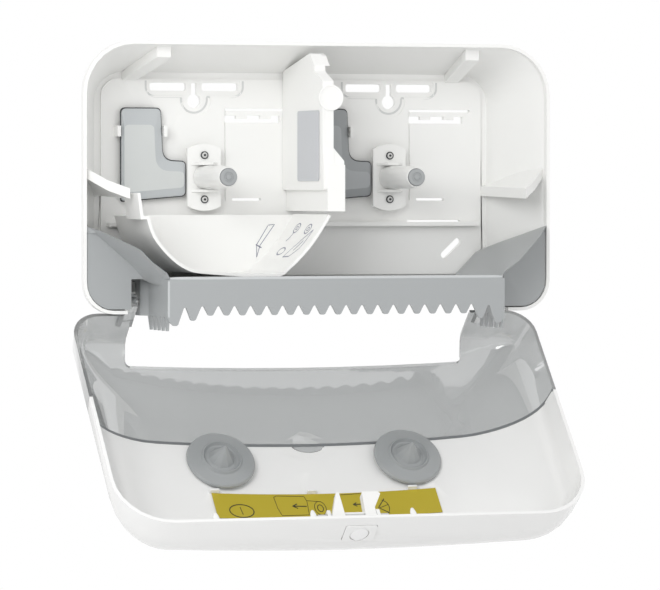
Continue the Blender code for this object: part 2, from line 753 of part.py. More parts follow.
pillar_rear = panel_face + seat_gap
roof_z = blend(rear_top, rim_top - rim_band_step, 0.35) - shell_wall - seat_gap - overrun
side_view = [(pillar_rear, roof_z - 0.25 * roof_z), (pillar_rear + overrun, roof_z - overrun),
             (pillar_head_depth - overrun, pillar_head_z), (pillar_head_depth, pillar_head_z
                                                            - overrun),
             (pillar_neck_depth, pillar_neck_z + overrun),
             (pillar_neck_depth, pillar_neck_z - overrun),
             (pillar_front, pillar_shoulder_z), (pillar_front, pillar_split_z),
             (pillar_foot_front, pillar_foot_z), (pillar_foot_front, -pillar_base_z),
             (pillar_rear, -pillar_base_z)]
pillar = piece("centre_partition",
               slab(rounded(side_view, overrun, 3), "DZ", pillar_left_x, pillar_right_x),
               white)
lower_front = pillar_foot_front + seat_gap
lower = [(pillar_rear, pillar_foot_z), (lower_front, pillar_foot_z),
         (lower_front, -pillar_bottom), (pillar_rear, -pillar_bottom)]
join(pillar, slab(lower, "DZ", pillar_foot_left, pillar_foot_right))
hollow = [(pillar_rear + pillar_wall, pillar_foot_z + pillar_wall),
          (pillar_front - pillar_wall, pillar_foot_z + pillar_wall),
          (pillar_front - pillar_wall, pillar_shoulder_z - pillar_wall - overrun),
          (pillar_neck_depth - pillar_wall, pillar_neck_z - overrun),
          (pillar_rear + pillar_wall, pillar_neck_z - pillar_gusset_drop)]
cut(pillar, slab(hollow, "DZ", pillar_left_x + pillar_wall, pillar_right_x + overrun))
cut(pillar, box(pillar_foot_left + pillar_wall, pillar_foot_right + overrun,
                pillar_rear + pillar_wall, pillar_foot_front - pillar_wall,
                -pillar_bottom + pillar_wall, pillar_foot_z - pillar_wall))
slope_low = pillar_foot_z - overrun
join(pillar, hull([at(x, d, z) for x, z, front in (
    (pillar_right_x - weld_depth, pillar_split_z, pillar_front - weld_depth),
    (pillar_right_x - weld_depth, slope_low, pillar_foot_front),
    (pillar_foot_right - weld_depth, slope_low, pillar_foot_front),
    (pillar_foot_right - weld_depth, pillar_slope_z, pillar_foot_front - weld_depth))
    for d in (front, front - pillar_wall - pillar_wall)]))
badge_centre = at(0.5 * (pillar_left_x + pillar_right_x) + overrun, 0.0, badge_z)
badge = [(0.0, pillar_front - pillar_wall), (badge_radius, pillar_front - pillar_wall),
         (badge_radius, pillar_front + badge_rise), (badge_radius - badge_rise,
                                                     pillar_front + badge_rise),
         (badge_radius - badge_rise, pillar_front + 0.5 * badge_rise),
         (0.0, pillar_front + 0.5 * badge_rise)]
join(pillar, turned(badge, badge_centre, out_axis))
label_x = pillar_left_x - seat_gap
piece("partition_label", slab(rounded([(label_depth0, label_z0), (label_depth1, label_z0),
                                       (label_depth1, label_z1), (label_depth0, label_z1)],
                                      overrun, 3), "DZ", label_x - label_sheet, label_x), paper)
head_hook = [(pillar_head_depth - overrun - overrun - overrun, pillar_head_z),
             (pillar_head_depth, pillar_head_z - overrun),
             (pillar_neck_depth, pillar_neck_z + overrun),
             (pillar_neck_depth - overrun - overrun, pillar_neck_z + overrun)]
head_hook_x = 3.0 * MM
join(pillar, slab(head_hook, "DZ", pillar_right_x - weld_depth, head_hook_x))

# Tear bar: guide floor, toothed apron, returns with combs, funnel wings, corner plates
bar_wall = 2.5 * MM
return_wall = 1.6 * MM
bar_half_width = 129.5 * MM
bar_front = 107.0 * MM
bar_rear = 6.0 * MM
bar_top = 74.0 * MM
bar_valley = 93.0 * MM
bar_tip = 100.0 * MM
tooth_pitch = 12.2 * MM
tooth_count = 10
tooth_round = 1.2 * MM
even_teeth = 8
end_tooth = 3.6 * MM
end_tooth_growth = 1.0 * MM
return_rear = 40.0 * MM
flare_half_width = 134.2 * MM
flare_depth = 52.0 * MM
flare_start = 60.0 * MM
return_bottom = 101.0 * MM
comb_tip = 111.0 * MM
comb_pitch = 10.0 * MM
comb_count = 5
wing_side_x = 181.8 * MM
wing_side_depth = 58.0 * MM
wing_side_z = 35.7 * MM
corner_depth = 66.0 * MM
corner_top_z = 41.0 * MM
corner_inner_x = 145.0 * MM
corner_bottom = 96.0 * MM
corner_plate_wall = 2.2 * MM
rib_rear = 40.0 * MM

# Ridge of a wing from the apron to the rim, as shares of its width, depth and rise
ridge_shares = [(0.0, 1.0, -0.02), (0.058, 1.0, 0.15), (0.263, 1.03, 0.39), (0.42, 1.0, 0.66),
                (0.66, 0.64, 0.9), (0.85, 0.225, 1.09), (0.94, 0.0, 1.15), (1.0, -0.05, 1.16)]
wing_root_shares = [(0.0, 0.01, -0.02), (0.18, 0.01, 0.24), (0.33, 0.01, 0.46), (0.42, 0.22, 0.56),
                    (0.56, 0.46, 0.68), (0.76, 0.72, 0.82), (0.92, 0.9, 0.94), (1.0, 1.0, 1.0)]
# Crease where the underside of the ridge meets the flat corner plate
crease_shares = [(0.02, 0.8, -0.12), (0.08, 0.4, -0.12), (0.155, 0.0, -0.02),
                 (0.327, 0.0, 0.29), (0.573, 0.0, 0.645), (0.81, 0.0, 0.975),
                 (0.93, 0.0, 0.99), (1.0, 0.0, 1.0)]



def lip_outline():
    """Front of the apron: even rounded teeth, with longer ones towards both ends."""
    half = []
    for k in range(tooth_count + 1):
        spare = max(k - even_teeth, 0)
        x = k * tooth_pitch + spare * end_tooth_growth
        drop = bar_tip + spare * end_tooth
        if k < tooth_count:
            half.append((x, drop, 0.13 * tooth_pitch))
            valley = bar_valley + 0.25 * spare * spare * end_tooth
            half.append((x + 0.5 * tooth_pitch, valley, 0.06 * tooth_pitch))
        else:
            half.append((x, drop, 0.13 * tooth_pitch))
    points = [(-bar_half_width, -bar_top), (bar_half_width, -bar_top),
              (bar_half_width, -half[-1][1] + end_tooth)]
    for x, z, w in reversed(half):
        points.append((x + w, -z))
        points.append((x - w, -z))
    for x, z, w in half[1:]:
        points.append((-x + w, -z))
        points.append((-x - w, -z))
    points.append((-bar_half_width, -half[-1][1] + end_tooth))
    return points


tear_bar = piece("tear_bar", slab(rounded(lip_outline(), tooth_round, 1), "XZ",
                                  bar_front - bar_wall, bar_front), grey)
join(tear_bar, box(-bar_half_width, bar_half_width, bar_rear, bar_front - 0.5 * bar_wall,
                   -bar_top - bar_wall, -bar_top))


def comb_gaps():
    """Tools that leave pointed fingers on the lower edge of a side return."""
    gaps = []
    for k in range(comb_count + 1):
        d = bar_front - 0.05 * comb_pitch - k * comb_pitch
        gaps.append([(d - 0.38 * comb_pitch, -comb_tip - overrun),
                     (d - 0.12 * comb_pitch, -return_bottom),
                     (d + 0.12 * comb_pitch, -return_bottom),
                     (d + 0.38 * comb_pitch, -comb_tip - overrun)])
    return gaps


cavity_rings = [shell_ring(d, shell_wall + seat_gap) for d in shell_depths[1:]]
cavity_rings.insert(0, shell_ring(shell_wall + seat_gap, shell_wall + seat_gap))
plate_rings = [shell_ring(d, shell_wall + 2.0 * seat_gap) for d in shell_depths[1:]]
mouth = rim_depth + fin_tip_depth
cavity_rings[-1] = [Vector((p.x, -mouth, p.z)) for p in cavity_rings[-1]]

for side in (-1.0, 1.0):
    outer = side * bar_half_width
    flare = side * flare_half_width
    skin = side * return_wall
    plan = [(outer, bar_front), (outer, flare_start), (flare, flare_depth),
            (flare, return_rear), (flare - skin, return_rear), (flare - skin, flare_depth),
            (outer - skin, flare_start), (outer - skin, bar_front)]
    wall = piece("return_tool", slab(plan, "XD", -comb_tip, -bar_top), None)
    for gap in comb_gaps():
        change(wall, "DIFFERENCE", slab(gap, "DZ", min(outer - skin, flare) - overrun,
                                        max(outer - skin, flare) + overrun))
    change(wall, "DIFFERENCE", slab([(return_rear - overrun, -comb_tip - overrun),
                                     (return_rear - overrun, -return_bottom),
                                     (bar_front - (comb_count - 0.15) * comb_pitch,
                                      -return_bottom),
                                     (bar_front - (comb_count - 0.35) * comb_pitch,
                                      -comb_tip - overrun)], "DZ",
                                    min(outer - skin, flare) - overrun,
                                    max(outer - skin, flare) + overrun))
    join(tear_bar, wall)
    join(tear_bar, box(min(outer - skin, flare), max(outer - skin, flare),
                       return_rear, flare_depth, -bar_top - bar_wall, -bar_top))
    ridge = []
    root = []
    front_d = bar_front - 0.4 * bar_wall
    for a, b, c in ridge_shares:
        ridge.append(at(side * blend(bar_half_width - bar_wall, wing_side_x, a),
                        blend(rim_depth, front_d, b), blend(-bar_top, -corner_top_z, c)))
    for a, b, c in wing_root_shares:
        root.append(at(side * blend(bar_half_width - bar_wall, wing_side_x, a),
                       blend(bar_rear, wing_side_depth, b), blend(-bar_top, -wing_side_z, c)))
    crease = []
    for a, b, c in crease_shares:
        crease.append(at(side * blend(bar_half_width - bar_wall, wing_side_x, a),
                         blend(corner_depth - 0.5 * corner_plate_wall, front_d, b),
                         blend(-bar_top, -corner_top_z, c)))
    down = Vector((0.0, 0.0, -bar_wall))
    strips = []
    for crest, rear, low in zip(ridge, root, crease):
        top = [crest.lerp(rear, k / 6.0) for k in range(7)]
        under = rear + down
        strips.append(top + [under, under.lerp(low, 0.5), low, low.lerp(crest, 0.5)])
    wing = piece("wing_tool", facets(loft(strips)), None)
    change(wing, "INTERSECT", facets(loft([list(r) for r in cavity_rings])))
    join(tear_bar, wing)
    edge = [(p.x, p.z + weld_depth) for p in crease[2:]]
    corner = [(side * corner_inner_x, -corner_bottom), (side * corner_inner_x, edge[0][1])]
    corner += edge + [(side * wing_side_x, -corner_bottom)]
    plate = piece("corner_tool", slab(corner, "XZ", corner_depth - corner_plate_wall,
                                      corner_depth), None)
    change(plate, "INTERSECT", loft(plate_rings))
    join(tear_bar, plate)
    rib0 = side * corner_inner_x
    rib1 = side * rib_outer_x
    join(tear_bar, box(min(rib0, rib1), max(rib0, rib1), rib_rear,
                       corner_depth - 0.5 * corner_plate_wall, -corner_bottom,
                       -bar_top + overrun))
bore = pin_radius + seat_gap
reach = rib_outer_x + overrun
cut(tear_bar, turned([(0.0, -reach), (bore, -reach), (bore, reach), (0.0, reach)],
                     hinge_point, x_axis, 16))
for name, side in (("left", -1.0), ("right", 1.0)):
    start = (flare_half_width - return_wall) * side
    length = rib_outer_x - flare_half_width + return_wall
    piece("hinge_pin_" + name, turned([(0.0, 0.0), (pin_radius, 0.0), (pin_radius, length),
                                       (0.0, length)], hinge_point + x_axis * start,
                                      x_axis * side, 16), steel)

# Cover: an open box with a bowed front, drawn shut
cover_rear = 68.2 * MM
cover_front = 131.0 * MM
cover_half_width = 181.0 * MM
cover_top = 99.0 * MM
cover_bottom = 98.5 * MM
cover_wall = 2.5 * MM
cover_top_corner = 40.3 * MM
cover_bottom_corner = 22.0 * MM
least_corner = 8.0 * MM
side_sweep = 61.5 * MM
top_sweep = 40.8 * MM
bottom_sweep = 65.0 * MM
front_crown = 17.2 * MM
seam_z = 19.0 * MM
seam_gap = 0.3 * MM
mouth_half_width = 132.5 * MM
mouth_z = 82.4 * MM
ear_inner_x = 136.0 * MM
ear_outer_x = 144.2 * MM
ear_radius = 6.0 * MM
ear_root_depth = 80.0 * MM
tab_half_width = 12.5 * MM
tab_height = 7.0 * MM
cone_z = 1.0 * MM
cone_disc_radius = 26.1 * MM
cone_disc_wall = 5.0 * MM
cone_tip_depth = 105.5 * MM
cone_ring_radius = 15.0 * MM
cone_pin_radius = 2.5 * MM
cone_ring_rise = 2.6 * MM
cone_ring_wall = 1.0 * MM
cone_spike_radius = 9.5 * MM
cone_bore = 4.0 * MM

cover_axis = bpy.data.objects.new("cover_axis", None)
bpy.context.scene.collection.objects.link(cover_axis)
cover_axis.location = hinge_point


def sweep(depth, size, radius, inset):
    """Half size of the cover at a depth, where its edge turns over with a radius."""
    centre = cover_front - radius
    if depth <= centre:
        return size - inset
    run = min(depth - centre, radius - inset)
    return size - radius + math.sqrt(max((radius - inset) ** 2 - run ** 2, 0.0))


def cover_ring(depth, inset=0.0, scale=1.0):
    side = sweep(depth, cover_half_width, side_sweep, inset)
    top = sweep(depth, cover_top, top_sweep, inset)
    low = sweep(depth, cover_bottom + bottom_low, bottom_sweep, inset)
    bottom = min(low, cover_bottom - inset)
    shrink = cover_half_width - side
    top_radius = max(cover_top_corner - 0.8 * shrink, least_corner)
    bottom_radius = max(cover_bottom_corner - 0.4 * shrink, least_corner)
    ring = frame_ring(depth, side * scale, top * scale, bottom * scale,
                      top_radius * scale, bottom_radius * scale, bow_steps)
    share = (depth - cover_rear) / (cover_front - cover_rear)
    weight = share * share
    return [Vector((p.x, p.y + front_crown * weight * (p.x / cover_half_width) ** 2, p.z))
            for p in ring]


bottom_low = 8.5 * MM
bow_steps = 8
bow_shares = [0.0, 0.3, 0.44, 0.55, 0.65, 0.74, 0.82, 0.89, 0.945, 0.985, 1.0]
face_shares = [0.84, 0.6, 0.36, 0.12]


def cover_body():
    outer = [cover_ring(blend(cover_rear, cover_front, s)) for s in bow_shares]
    outer += [cover_ring(cover_front, 0.0, s) for s in face_shares]
    deep = cover_front - cover_wall
    inner = [cover_ring(blend(cover_rear, deep, s), cover_wall) for s in bow_shares]
    inner += [cover_ring(deep, cover_wall, s) for s in face_shares]
    return loft(outer[::-1] + inner)


def front_inside(x, inset=cover_wall):
    """Depth of the inner face of the front at a distance from the middle."""
    return cover_front - inset - front_crown * (x / cover_half_width) ** 2


wide = cover_half_width + overrun
tall = cover_top + overrun
far = cover_front + overrun
near = cover_rear - cover_half_width
cover_shell = piece("cover_shell", cover_body(), white, origin=hinge_point, parent=cover_axis)
cover_window = piece("cover_window", cover_body(), smoke, origin=hinge_point,
                     parent=cover_axis)
cut(cover_shell, box(-wide, wide, near, far, -tall, -seam_z + 0.5 * seam_gap),
    parent=cover_axis)
cut(cover_window, box(-wide, wide, near, far, -seam_z - 0.5 * seam_gap, tall),
    parent=cover_axis)

# Half-round tab of the window that laps the white part
tab_steps = 12
tab_outline = [(tab_half_width * math.cos(math.pi * k / tab_steps),
                -seam_z + tab_height * math.sin(math.pi * k / tab_steps) - seam_gap)
               for k in range(tab_steps + 1)]
tab_wide = [(1.04 * x, z + seam_gap) for x, z in tab_outline]
tab_foot = seam_z + tab_height
tab_outline = [(-tab_half_width, -tab_foot)] + tab_outline[::-1] + [(tab_half_width, -tab_foot)]
tab_wide = [(-1.04 * tab_half_width, -tab_foot)] + tab_wide[::-1] + [(1.04 * tab_half_width,
                                                                      -tab_foot)]
cut(cover_shell, slab(tab_wide, "XZ", cone_tip_depth, far), parent=cover_axis)
join(cover_window, slab(tab_outline, "XZ", front_inside(tab_half_width),
                        cover_front - 0.4 * cover_wall), parent=cover_axis)

# Mouth at the bottom for the tear bar, and the hinge ears beside it
mouth = rounded([(-mouth_half_width, -mouth_z), (mouth_half_width, -mouth_z),
                 (mouth_half_width, -tall), (-mouth_half_width, -tall)],
                [1.4 * cover_wall, 1.4 * cover_wall, 0.0, 0.0], 4)
cut(cover_window, slab(mouth, "XZ", near, far), parent=cover_axis)
ear_low = cover_bottom - 0.5 * cover_wall
for side in (-1.0, 1.0):
    x0 = min(side * ear_inner_x, side * ear_outer_x)
    x1 = max(side * ear_inner_x, side * ear_outer_x)
    eye = [(hinge_depth + ear_radius * math.cos(math.pi * (0.5 + k / 10.0)),
            -hinge_z + ear_radius * math.sin(math.pi * (0.5 + k / 10.0))) for k in range(11)]
    arm = eye + [(cover_rear, -ear_low), (ear_root_depth, -ear_low),
                 (ear_root_depth - overrun, -ear_low + cover_wall),
                 (cover_rear, -hinge_z + ear_radius)]
    join(cover_window, slab(arm, "DZ", x0, x1), parent=cover_axis)
    lean = Vector((side, 0.0, 0.0))
    cut(cover_window, turned([(0.0, 0.0), (bore, 0.0), (bore, rib_outer_x), (0.0, rib_outer_x)],
                             hinge_point, lean, 16), parent=cover_axis)

# Cones that centre the rolls, turning on a pin that stands on the inside of the front
for name, centre in (("left", -spindle_x), ("right", spindle_x)):
    wall = front_inside(centre)
    back = wall - overrun
    middle = at(centre, 0.0, -cone_z)
    hole = cone_pin_radius + seat_gap
    face = back - cone_disc_wall
    ring_top = face - cone_ring_rise
    cone = turned([(hole, back), (cone_disc_radius, back),
                   (cone_disc_radius, blend(back, face, 0.45)),
                   (cone_disc_radius - 0.6 * overrun, blend(back, face, 0.7)),
                   (cone_ring_radius + overrun, face), (cone_ring_radius, ring_top),
                   (cone_ring_radius - cone_ring_wall, ring_top),
                   (cone_ring_radius - overrun - overrun, face),
                   (cone_spike_radius, face), (0.5 * cone_ring_wall, cone_tip_depth),
                   (0.0, cone_tip_depth), (0.0, face - cone_bore), (hole, face - cone_bore)],
                  middle, out_axis)
    piece("roll_cone_" + name, cone, grey, origin=at(centre, back, -cone_z),
          parent=cover_axis)
    stud = turned([(0.0, wall + weld_depth), (cone_pin_radius + cone_pin_radius,
                                              wall + weld_depth),
                   (cone_pin_radius + cone_pin_radius, back + seat_gap),
                   (cone_pin_radius, back + seat_gap),
                   (cone_pin_radius, face - cone_bore + seat_gap),
                   (0.0, face - cone_bore + seat_gap)], middle, out_axis)
    join(cover_shell, stud, parent=cover_axis)

# Instruction label on the inside of the front
label_left = -86.0 * MM
label_right = 88.0 * MM
label_low = 28.0 * MM
label_high = 51.0 * MM
label_thick = 0.5 * MM
label_columns = 24
strip_rings = []
for k in range(label_columns + 1):
    x = blend(label_left, label_right, k / label_columns)
    d = front_inside(x) - seat_gap
    strip_rings.append([at(x, d, label_low), at(x, d, label_high),
                        at(x, d - label_thick, label_high), at(x, d - label_thick, label_low)])
piece("instruction_label", loft(strip_rings), olive, origin=at(0.0, front_inside(0.0), label_low),
      parent=cover_axis)

# Lock in the top wall: bezel, button and the two-pronged latch behind it
lock_x = 1.4 * MM
lock_depth = 86.5 * MM
bezel_half_width = 12.0 * MM
bezel_half_depth = 9.5 * MM
bezel_rise = 0.8 * MM
bezel_drop = 4.0 * MM
button_radius = 7.0 * MM
button_stem_radius = 3.0 * MM
button_stem = 6.0 * MM
latch_plate = 2.5 * MM
latch_low = 70.0 * MM
latch_left = -20.8 * MM
latch_left_inner = -10.5 * MM
latch_right_inner = 5.0 * MM
latch_right_base = 13.6 * MM
latch_right = 20.9 * MM
latch_half_depth = 3.0 * MM
latch_setback = 8.8 * MM
latch_pivot_z = 90.0 * MM
latch_pin_radius = 1.5 * MM

roof = cover_top - cover_wall
bezel_box = rounded([(lock_x - bezel_half_width, lock_depth - bezel_half_depth),
                     (lock_x + bezel_half_width, lock_depth - bezel_half_depth),
                     (lock_x + bezel_half_width, lock_depth + bezel_half_depth * 0.75),
                     (lock_x - bezel_half_width, lock_depth + bezel_half_depth * 0.75)],
                    overrun, 3)
hole_box = rounded([(lock_x - bezel_half_width - seat_gap, lock_depth - bezel_half_depth
                     - seat_gap),
                    (lock_x + bezel_half_width + seat_gap, lock_depth - bezel_half_depth
                     - seat_gap),
                    (lock_x + bezel_half_width + seat_gap, lock_depth
                     + bezel_half_depth * 0.75 + seat_gap),
                    (lock_x - bezel_half_width - seat_gap, lock_depth
                     + bezel_half_depth * 0.75 + seat_gap)], overrun, 3)
cut(cover_shell, slab(hole_box, "XD", roof - overrun, tall), parent=cover_axis)
bezel = piece("lock_bezel", slab(bezel_box, "XD", cover_top - bezel_drop, cover_top
                                 + bezel_rise), white,
              origin=at(lock_x, lock_depth, cover_top), parent=cover_axis)
hole = button_radius + seat_gap
lock_centre = at(lock_x, lock_depth, 0.0)
up = Vector((0.0, 0.0, 1.0))
cut(bezel, turned([(0.0, cover_top - bezel_drop - overrun), (hole, cover_top - bezel_drop
                   - overrun), (hole, tall + overrun), (0.0, tall + overrun)],
                  lock_centre, up), parent=cover_axis)
button = piece("lock_button", turned([
    (0.0, cover_top - bezel_drop - button_stem), (button_stem_radius, cover_top - bezel_drop
                                                  - button_stem),
    (button_stem_radius, cover_top - bezel_drop + overrun),
    (button_radius, cover_top - bezel_drop + overrun), (button_radius, cover_top),
    (button_radius - bezel_rise, cover_top + bezel_rise), (0.0, cover_top + bezel_rise)],
    lock_centre, up), pale_grey, origin=at(lock_x, lock_depth, cover_top), parent=cover_axis)

latch_arm_top = cover_top - bezel_drop - button_stem - seat_gap
latch_pivot_depth = cover_rear + latch_setback
latch_rear = latch_pivot_depth - latch_half_depth
latch_front = latch_pivot_depth + latch_half_depth
latch_pivot = at(0.0, latch_pivot_depth, latch_pivot_z)

# The latch swings on a pin that runs along X in two lugs under the top wall
lug_half = 3.2 * MM
prong_top = latch_pivot_z + latch_plate
left_prong = [(latch_left, prong_top), (latch_left_inner, prong_top),
              (latch_left_inner, latch_low), (latch_left_inner - overrun, latch_low)]
right_prong = [(latch_right_inner, prong_top), (latch_right_base, prong_top),
               (latch_right_base, latch_pivot_z - lug_half - overrun),
               (latch_right, latch_low + overrun), (latch_right - overrun, latch_low),
               (latch_right_inner + overrun, latch_low)]
latch = piece("latch_lever", slab(rounded(left_prong, seat_gap, 1), "XZ", latch_rear,
                                  latch_front), white, origin=latch_pivot, parent=cover_axis)
join(latch, slab(rounded(right_prong, 0.5 * overrun, 2), "XZ", latch_rear, latch_front),
     parent=cover_axis)
bridge_top = latch_arm_top
join(latch, box(latch_left + overrun, latch_right_base - overrun, latch_front - latch_plate,
                lock_depth + button_stem_radius, bridge_top - latch_plate, bridge_top),
     parent=cover_axis)
join(latch, box(latch_left + overrun, latch_left_inner, latch_front - latch_plate, latch_front,
                latch_pivot_z - latch_plate, bridge_top), parent=cover_axis)
join(latch, box(latch_right_inner, latch_right_base - overrun, latch_front - latch_plate,
                latch_front, latch_pivot_z - latch_plate, bridge_top), parent=cover_axis)
span = latch_right_base - latch_left + 8.0 * latch_plate
pin_start = latch_left - 4.0 * latch_plate
hole = latch_pin_radius + seat_gap
cut(latch, turned([(0.0, 0.0), (hole, 0.0), (hole, span), (0.0, span)],
                  at(pin_start, latch_pivot_depth, latch_pivot_z), x_axis, 12),
    parent=cover_axis)
piece("latch_pin", turned([(0.0, seat_gap), (latch_pin_radius, seat_gap),
                           (latch_pin_radius, span - seat_gap), (0.0, span - seat_gap)],
                          at(pin_start, latch_pivot_depth, latch_pivot_z), x_axis, 12), steel,
      origin=latch_pivot, parent=cover_axis)
for x in (latch_left - seat_gap - latch_plate, latch_right_base + seat_gap):
    join(cover_shell, box(x, x + latch_plate, latch_pivot_depth - lug_half,
                          latch_pivot_depth + lug_half, latch_pivot_z - lug_half,
                          roof + weld_depth), parent=cover_axis)
cut(cover_shell, turned([(0.0, 0.0), (hole, 0.0), (hole, span), (0.0, span)],
                        at(pin_start, latch_pivot_depth, latch_pivot_z), x_axis, 12),
    parent=cover_axis)

# Small ribs on the front that edge the label
rib_wall = 1.6 * MM
rib_rise = 4.0 * MM
rib_length = 7.0 * MM
rib_left_x = -84.0 * MM
rib_middle_x = -8.0 * MM
rib_right_x = 70.0 * MM
for x in (rib_left_x, rib_middle_x, rib_right_x):
    d = front_inside(x)
    join(cover_shell, box(x - 0.5 * rib_length, x + 0.5 * rib_length, d - rib_rise,
                          d + weld_depth, label_low - seat_gap - rib_wall,
                          label_low - seat_gap), parent=cover_axis)

cover_axis.rotation_euler = (open_angle, 0.0, 0.0)
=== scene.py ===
# %% [markdown]
# A washroom dispenser for two toilet rolls hangs on a wall with its cover swung down. The
# housing, the tear bar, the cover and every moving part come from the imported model, which
# is loaded first and kept as it is. This notebook gives them their plastics and metals,
# adds the printed and moulded details, and sets up a plain studio.

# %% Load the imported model
import math

import bmesh
import bpy
import numpy as np
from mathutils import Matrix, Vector
from mathutils.bvhtree import BVHTree


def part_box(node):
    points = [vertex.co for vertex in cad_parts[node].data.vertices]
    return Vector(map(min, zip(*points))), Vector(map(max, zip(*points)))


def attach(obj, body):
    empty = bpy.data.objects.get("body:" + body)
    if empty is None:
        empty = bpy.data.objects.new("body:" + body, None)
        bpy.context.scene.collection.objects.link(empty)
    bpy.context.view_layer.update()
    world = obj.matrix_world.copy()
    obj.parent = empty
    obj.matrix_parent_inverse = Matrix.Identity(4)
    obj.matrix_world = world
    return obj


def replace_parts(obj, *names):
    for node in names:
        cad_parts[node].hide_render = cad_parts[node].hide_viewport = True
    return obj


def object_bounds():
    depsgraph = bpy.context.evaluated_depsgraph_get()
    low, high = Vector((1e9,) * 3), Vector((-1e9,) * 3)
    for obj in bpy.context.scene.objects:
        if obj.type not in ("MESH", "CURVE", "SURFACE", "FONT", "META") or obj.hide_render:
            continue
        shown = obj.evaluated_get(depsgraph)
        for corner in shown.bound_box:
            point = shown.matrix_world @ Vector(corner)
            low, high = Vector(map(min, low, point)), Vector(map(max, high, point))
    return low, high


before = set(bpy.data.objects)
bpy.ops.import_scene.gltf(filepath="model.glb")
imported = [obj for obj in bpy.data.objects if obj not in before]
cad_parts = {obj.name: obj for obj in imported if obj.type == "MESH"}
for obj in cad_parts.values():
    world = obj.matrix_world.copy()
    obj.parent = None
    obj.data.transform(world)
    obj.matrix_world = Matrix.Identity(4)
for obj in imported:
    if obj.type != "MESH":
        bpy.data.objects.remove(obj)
MM = 0.001
cad_low, cad_high = [list(corner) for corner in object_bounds()]
print("model box", cad_low, cad_high)

# %% [markdown]
# The picture was taken from the left and a little above with a long lens, so the lines of
# the housing hardly converge. The camera stands a little over three metres away, turned
# nineteen degrees, and the lens gives the same scale.

# %% Camera
lens_length = 244.6
camera_place = (-1.0731, -3.1865, -0.0101)
camera_dip = 1.33
camera_turn = 19.1
camera_data = bpy.data.cameras.new("studio_camera")
camera_data.lens = lens_length
camera_data.sensor_width = 36.0
camera = bpy.data.objects.new("studio_camera", camera_data)
camera.location = camera_place
camera.rotation_euler = (math.radians(90.0 - camera_dip), 0.0, math.radians(-camera_turn))
bpy.context.scene.collection.objects.link(camera)
bpy.context.scene.camera = camera
print("camera at", tuple(camera.location))

# %% [markdown]
# The studio is a pale floor under soft light from all sides. A near lamp on the left gives
# the shading, and two weak ones, on the right and from below, open the shadows. The
# background is white to the camera and to glossy or clear surfaces, while the light that
# falls on the object stays at a plain level, so white plastic keeps its shading.

# %% Floor, world and lamps
scene = bpy.context.scene
scene.view_settings.view_transform = "Standard"


def white_to_the_camera(tree, lit, strength):
    """Mix a shader with a white glow: the glow shows in direct, glossy and clear rays."""
    path = tree.nodes.new("ShaderNodeLightPath")
    glow = tree.nodes.new("ShaderNodeEmission" if tree.nodes.get("Material Output")
                          else "ShaderNodeBackground")
    glow.inputs["Color"].default_value = (1.0, 1.0, 1.0, 1.0)
    glow.inputs["Strength"].default_value = strength
    seen = tree.nodes.new("ShaderNodeMath")
    seen.operation = "MAXIMUM"
    clear = tree.nodes.new("ShaderNodeMath")
    clear.operation = "MAXIMUM"
    tree.links.new(path.outputs["Is Camera Ray"], seen.inputs[0])
    tree.links.new(path.outputs["Is Glossy Ray"], clear.inputs[0])
    tree.links.new(path.outputs["Is Transmission Ray"], clear.inputs[1])
    tree.links.new(clear.outputs[0], seen.inputs[1])
    mix = tree.nodes.new("ShaderNodeMixShader")
    tree.links.new(seen.outputs[0], mix.inputs["Fac"])
    tree.links.new(lit, mix.inputs[1])
    tree.links.new(glow.outputs[0], mix.inputs[2])
    return mix.outputs[0]


world = bpy.data.worlds.new("studio_world")
world.use_nodes = True
scene.world = world
sky = world.node_tree
ambient = sky.nodes["Background"]
ambient.inputs["Color"].default_value = (0.985, 0.985, 0.985, 1.0)
ambient.inputs["Strength"].default_value = 0.76
sky.links.new(white_to_the_camera(sky, ambient.outputs[0], 1.0),
              sky.nodes["World Output"].inputs["Surface"])

floor_gap = 30.0 * MM
floor_half = 6.0
floor_z = cad_low[2] - floor_gap
floor_corners = [(x * floor_half, y * floor_half, floor_z)
                 for x, y in ((-1, -1), (1, -1), (1, 1), (-1, 1))]
floor_mesh = bpy.data.meshes.new("studio_floor")
floor_mesh.from_pydata(floor_corners, [], [(0, 1, 2, 3)])
floor = bpy.data.objects.new("studio_floor", floor_mesh)
scene.collection.objects.link(floor)
floor_finish = bpy.data.materials.new("pale_studio_floor")
floor_finish.use_nodes = True
floor_tree = floor_finish.node_tree
floor_shader = floor_tree.nodes["Principled BSDF"]
floor_shader.inputs["Base Color"].default_value = (0.9, 0.9, 0.9, 1)
floor_shader.inputs["Roughness"].default_value = 0.9
floor_tree.links.new(white_to_the_camera(floor_tree, floor_shader.outputs[0], 1.0),
                     floor_tree.nodes["Material Output"].inputs["Surface"])
floor_mesh.materials.append(floor_finish)


def lamp(name, place, aim, size, power):
    """A square lamp at a place, turned to face a point."""
    data = bpy.data.lights.new(name, "AREA")
    data.size = size
    data.energy = power
    item = bpy.data.objects.new(name, data)
    item.location = place
    item.rotation_euler = (Vector(aim) - Vector(place)).to_track_quat("-Z", "Y").to_euler()
    scene.collection.objects.link(item)
    return item


middle = (0.0, -0.05, -0.08)
lamp("key_lamp", (-0.85, -1.15, 0.45), middle, 0.7, 8.0)
lamp("fill_lamp", (1.6, -1.8, 0.6), middle, 1.4, 1.5)
lamp("low_lamp", (0.0, -2.2, -0.7), middle, 1.2, 2.0)
print("floor at", round(floor_z, 4))

# %% [markdown]
# Moulded plastic is never a flat colour. A fine grain from the tool breaks up its gloss,
# the colour drifts a little over a hand's width, and dust dulls it in places. One node
# group makes all three from the object's own coordinates, and each plastic takes it with
# its own strength.

# %% Moulded grain group
drift_scale = 14.0
noise_middle = 0.5
grain_height = 0.1 * MM


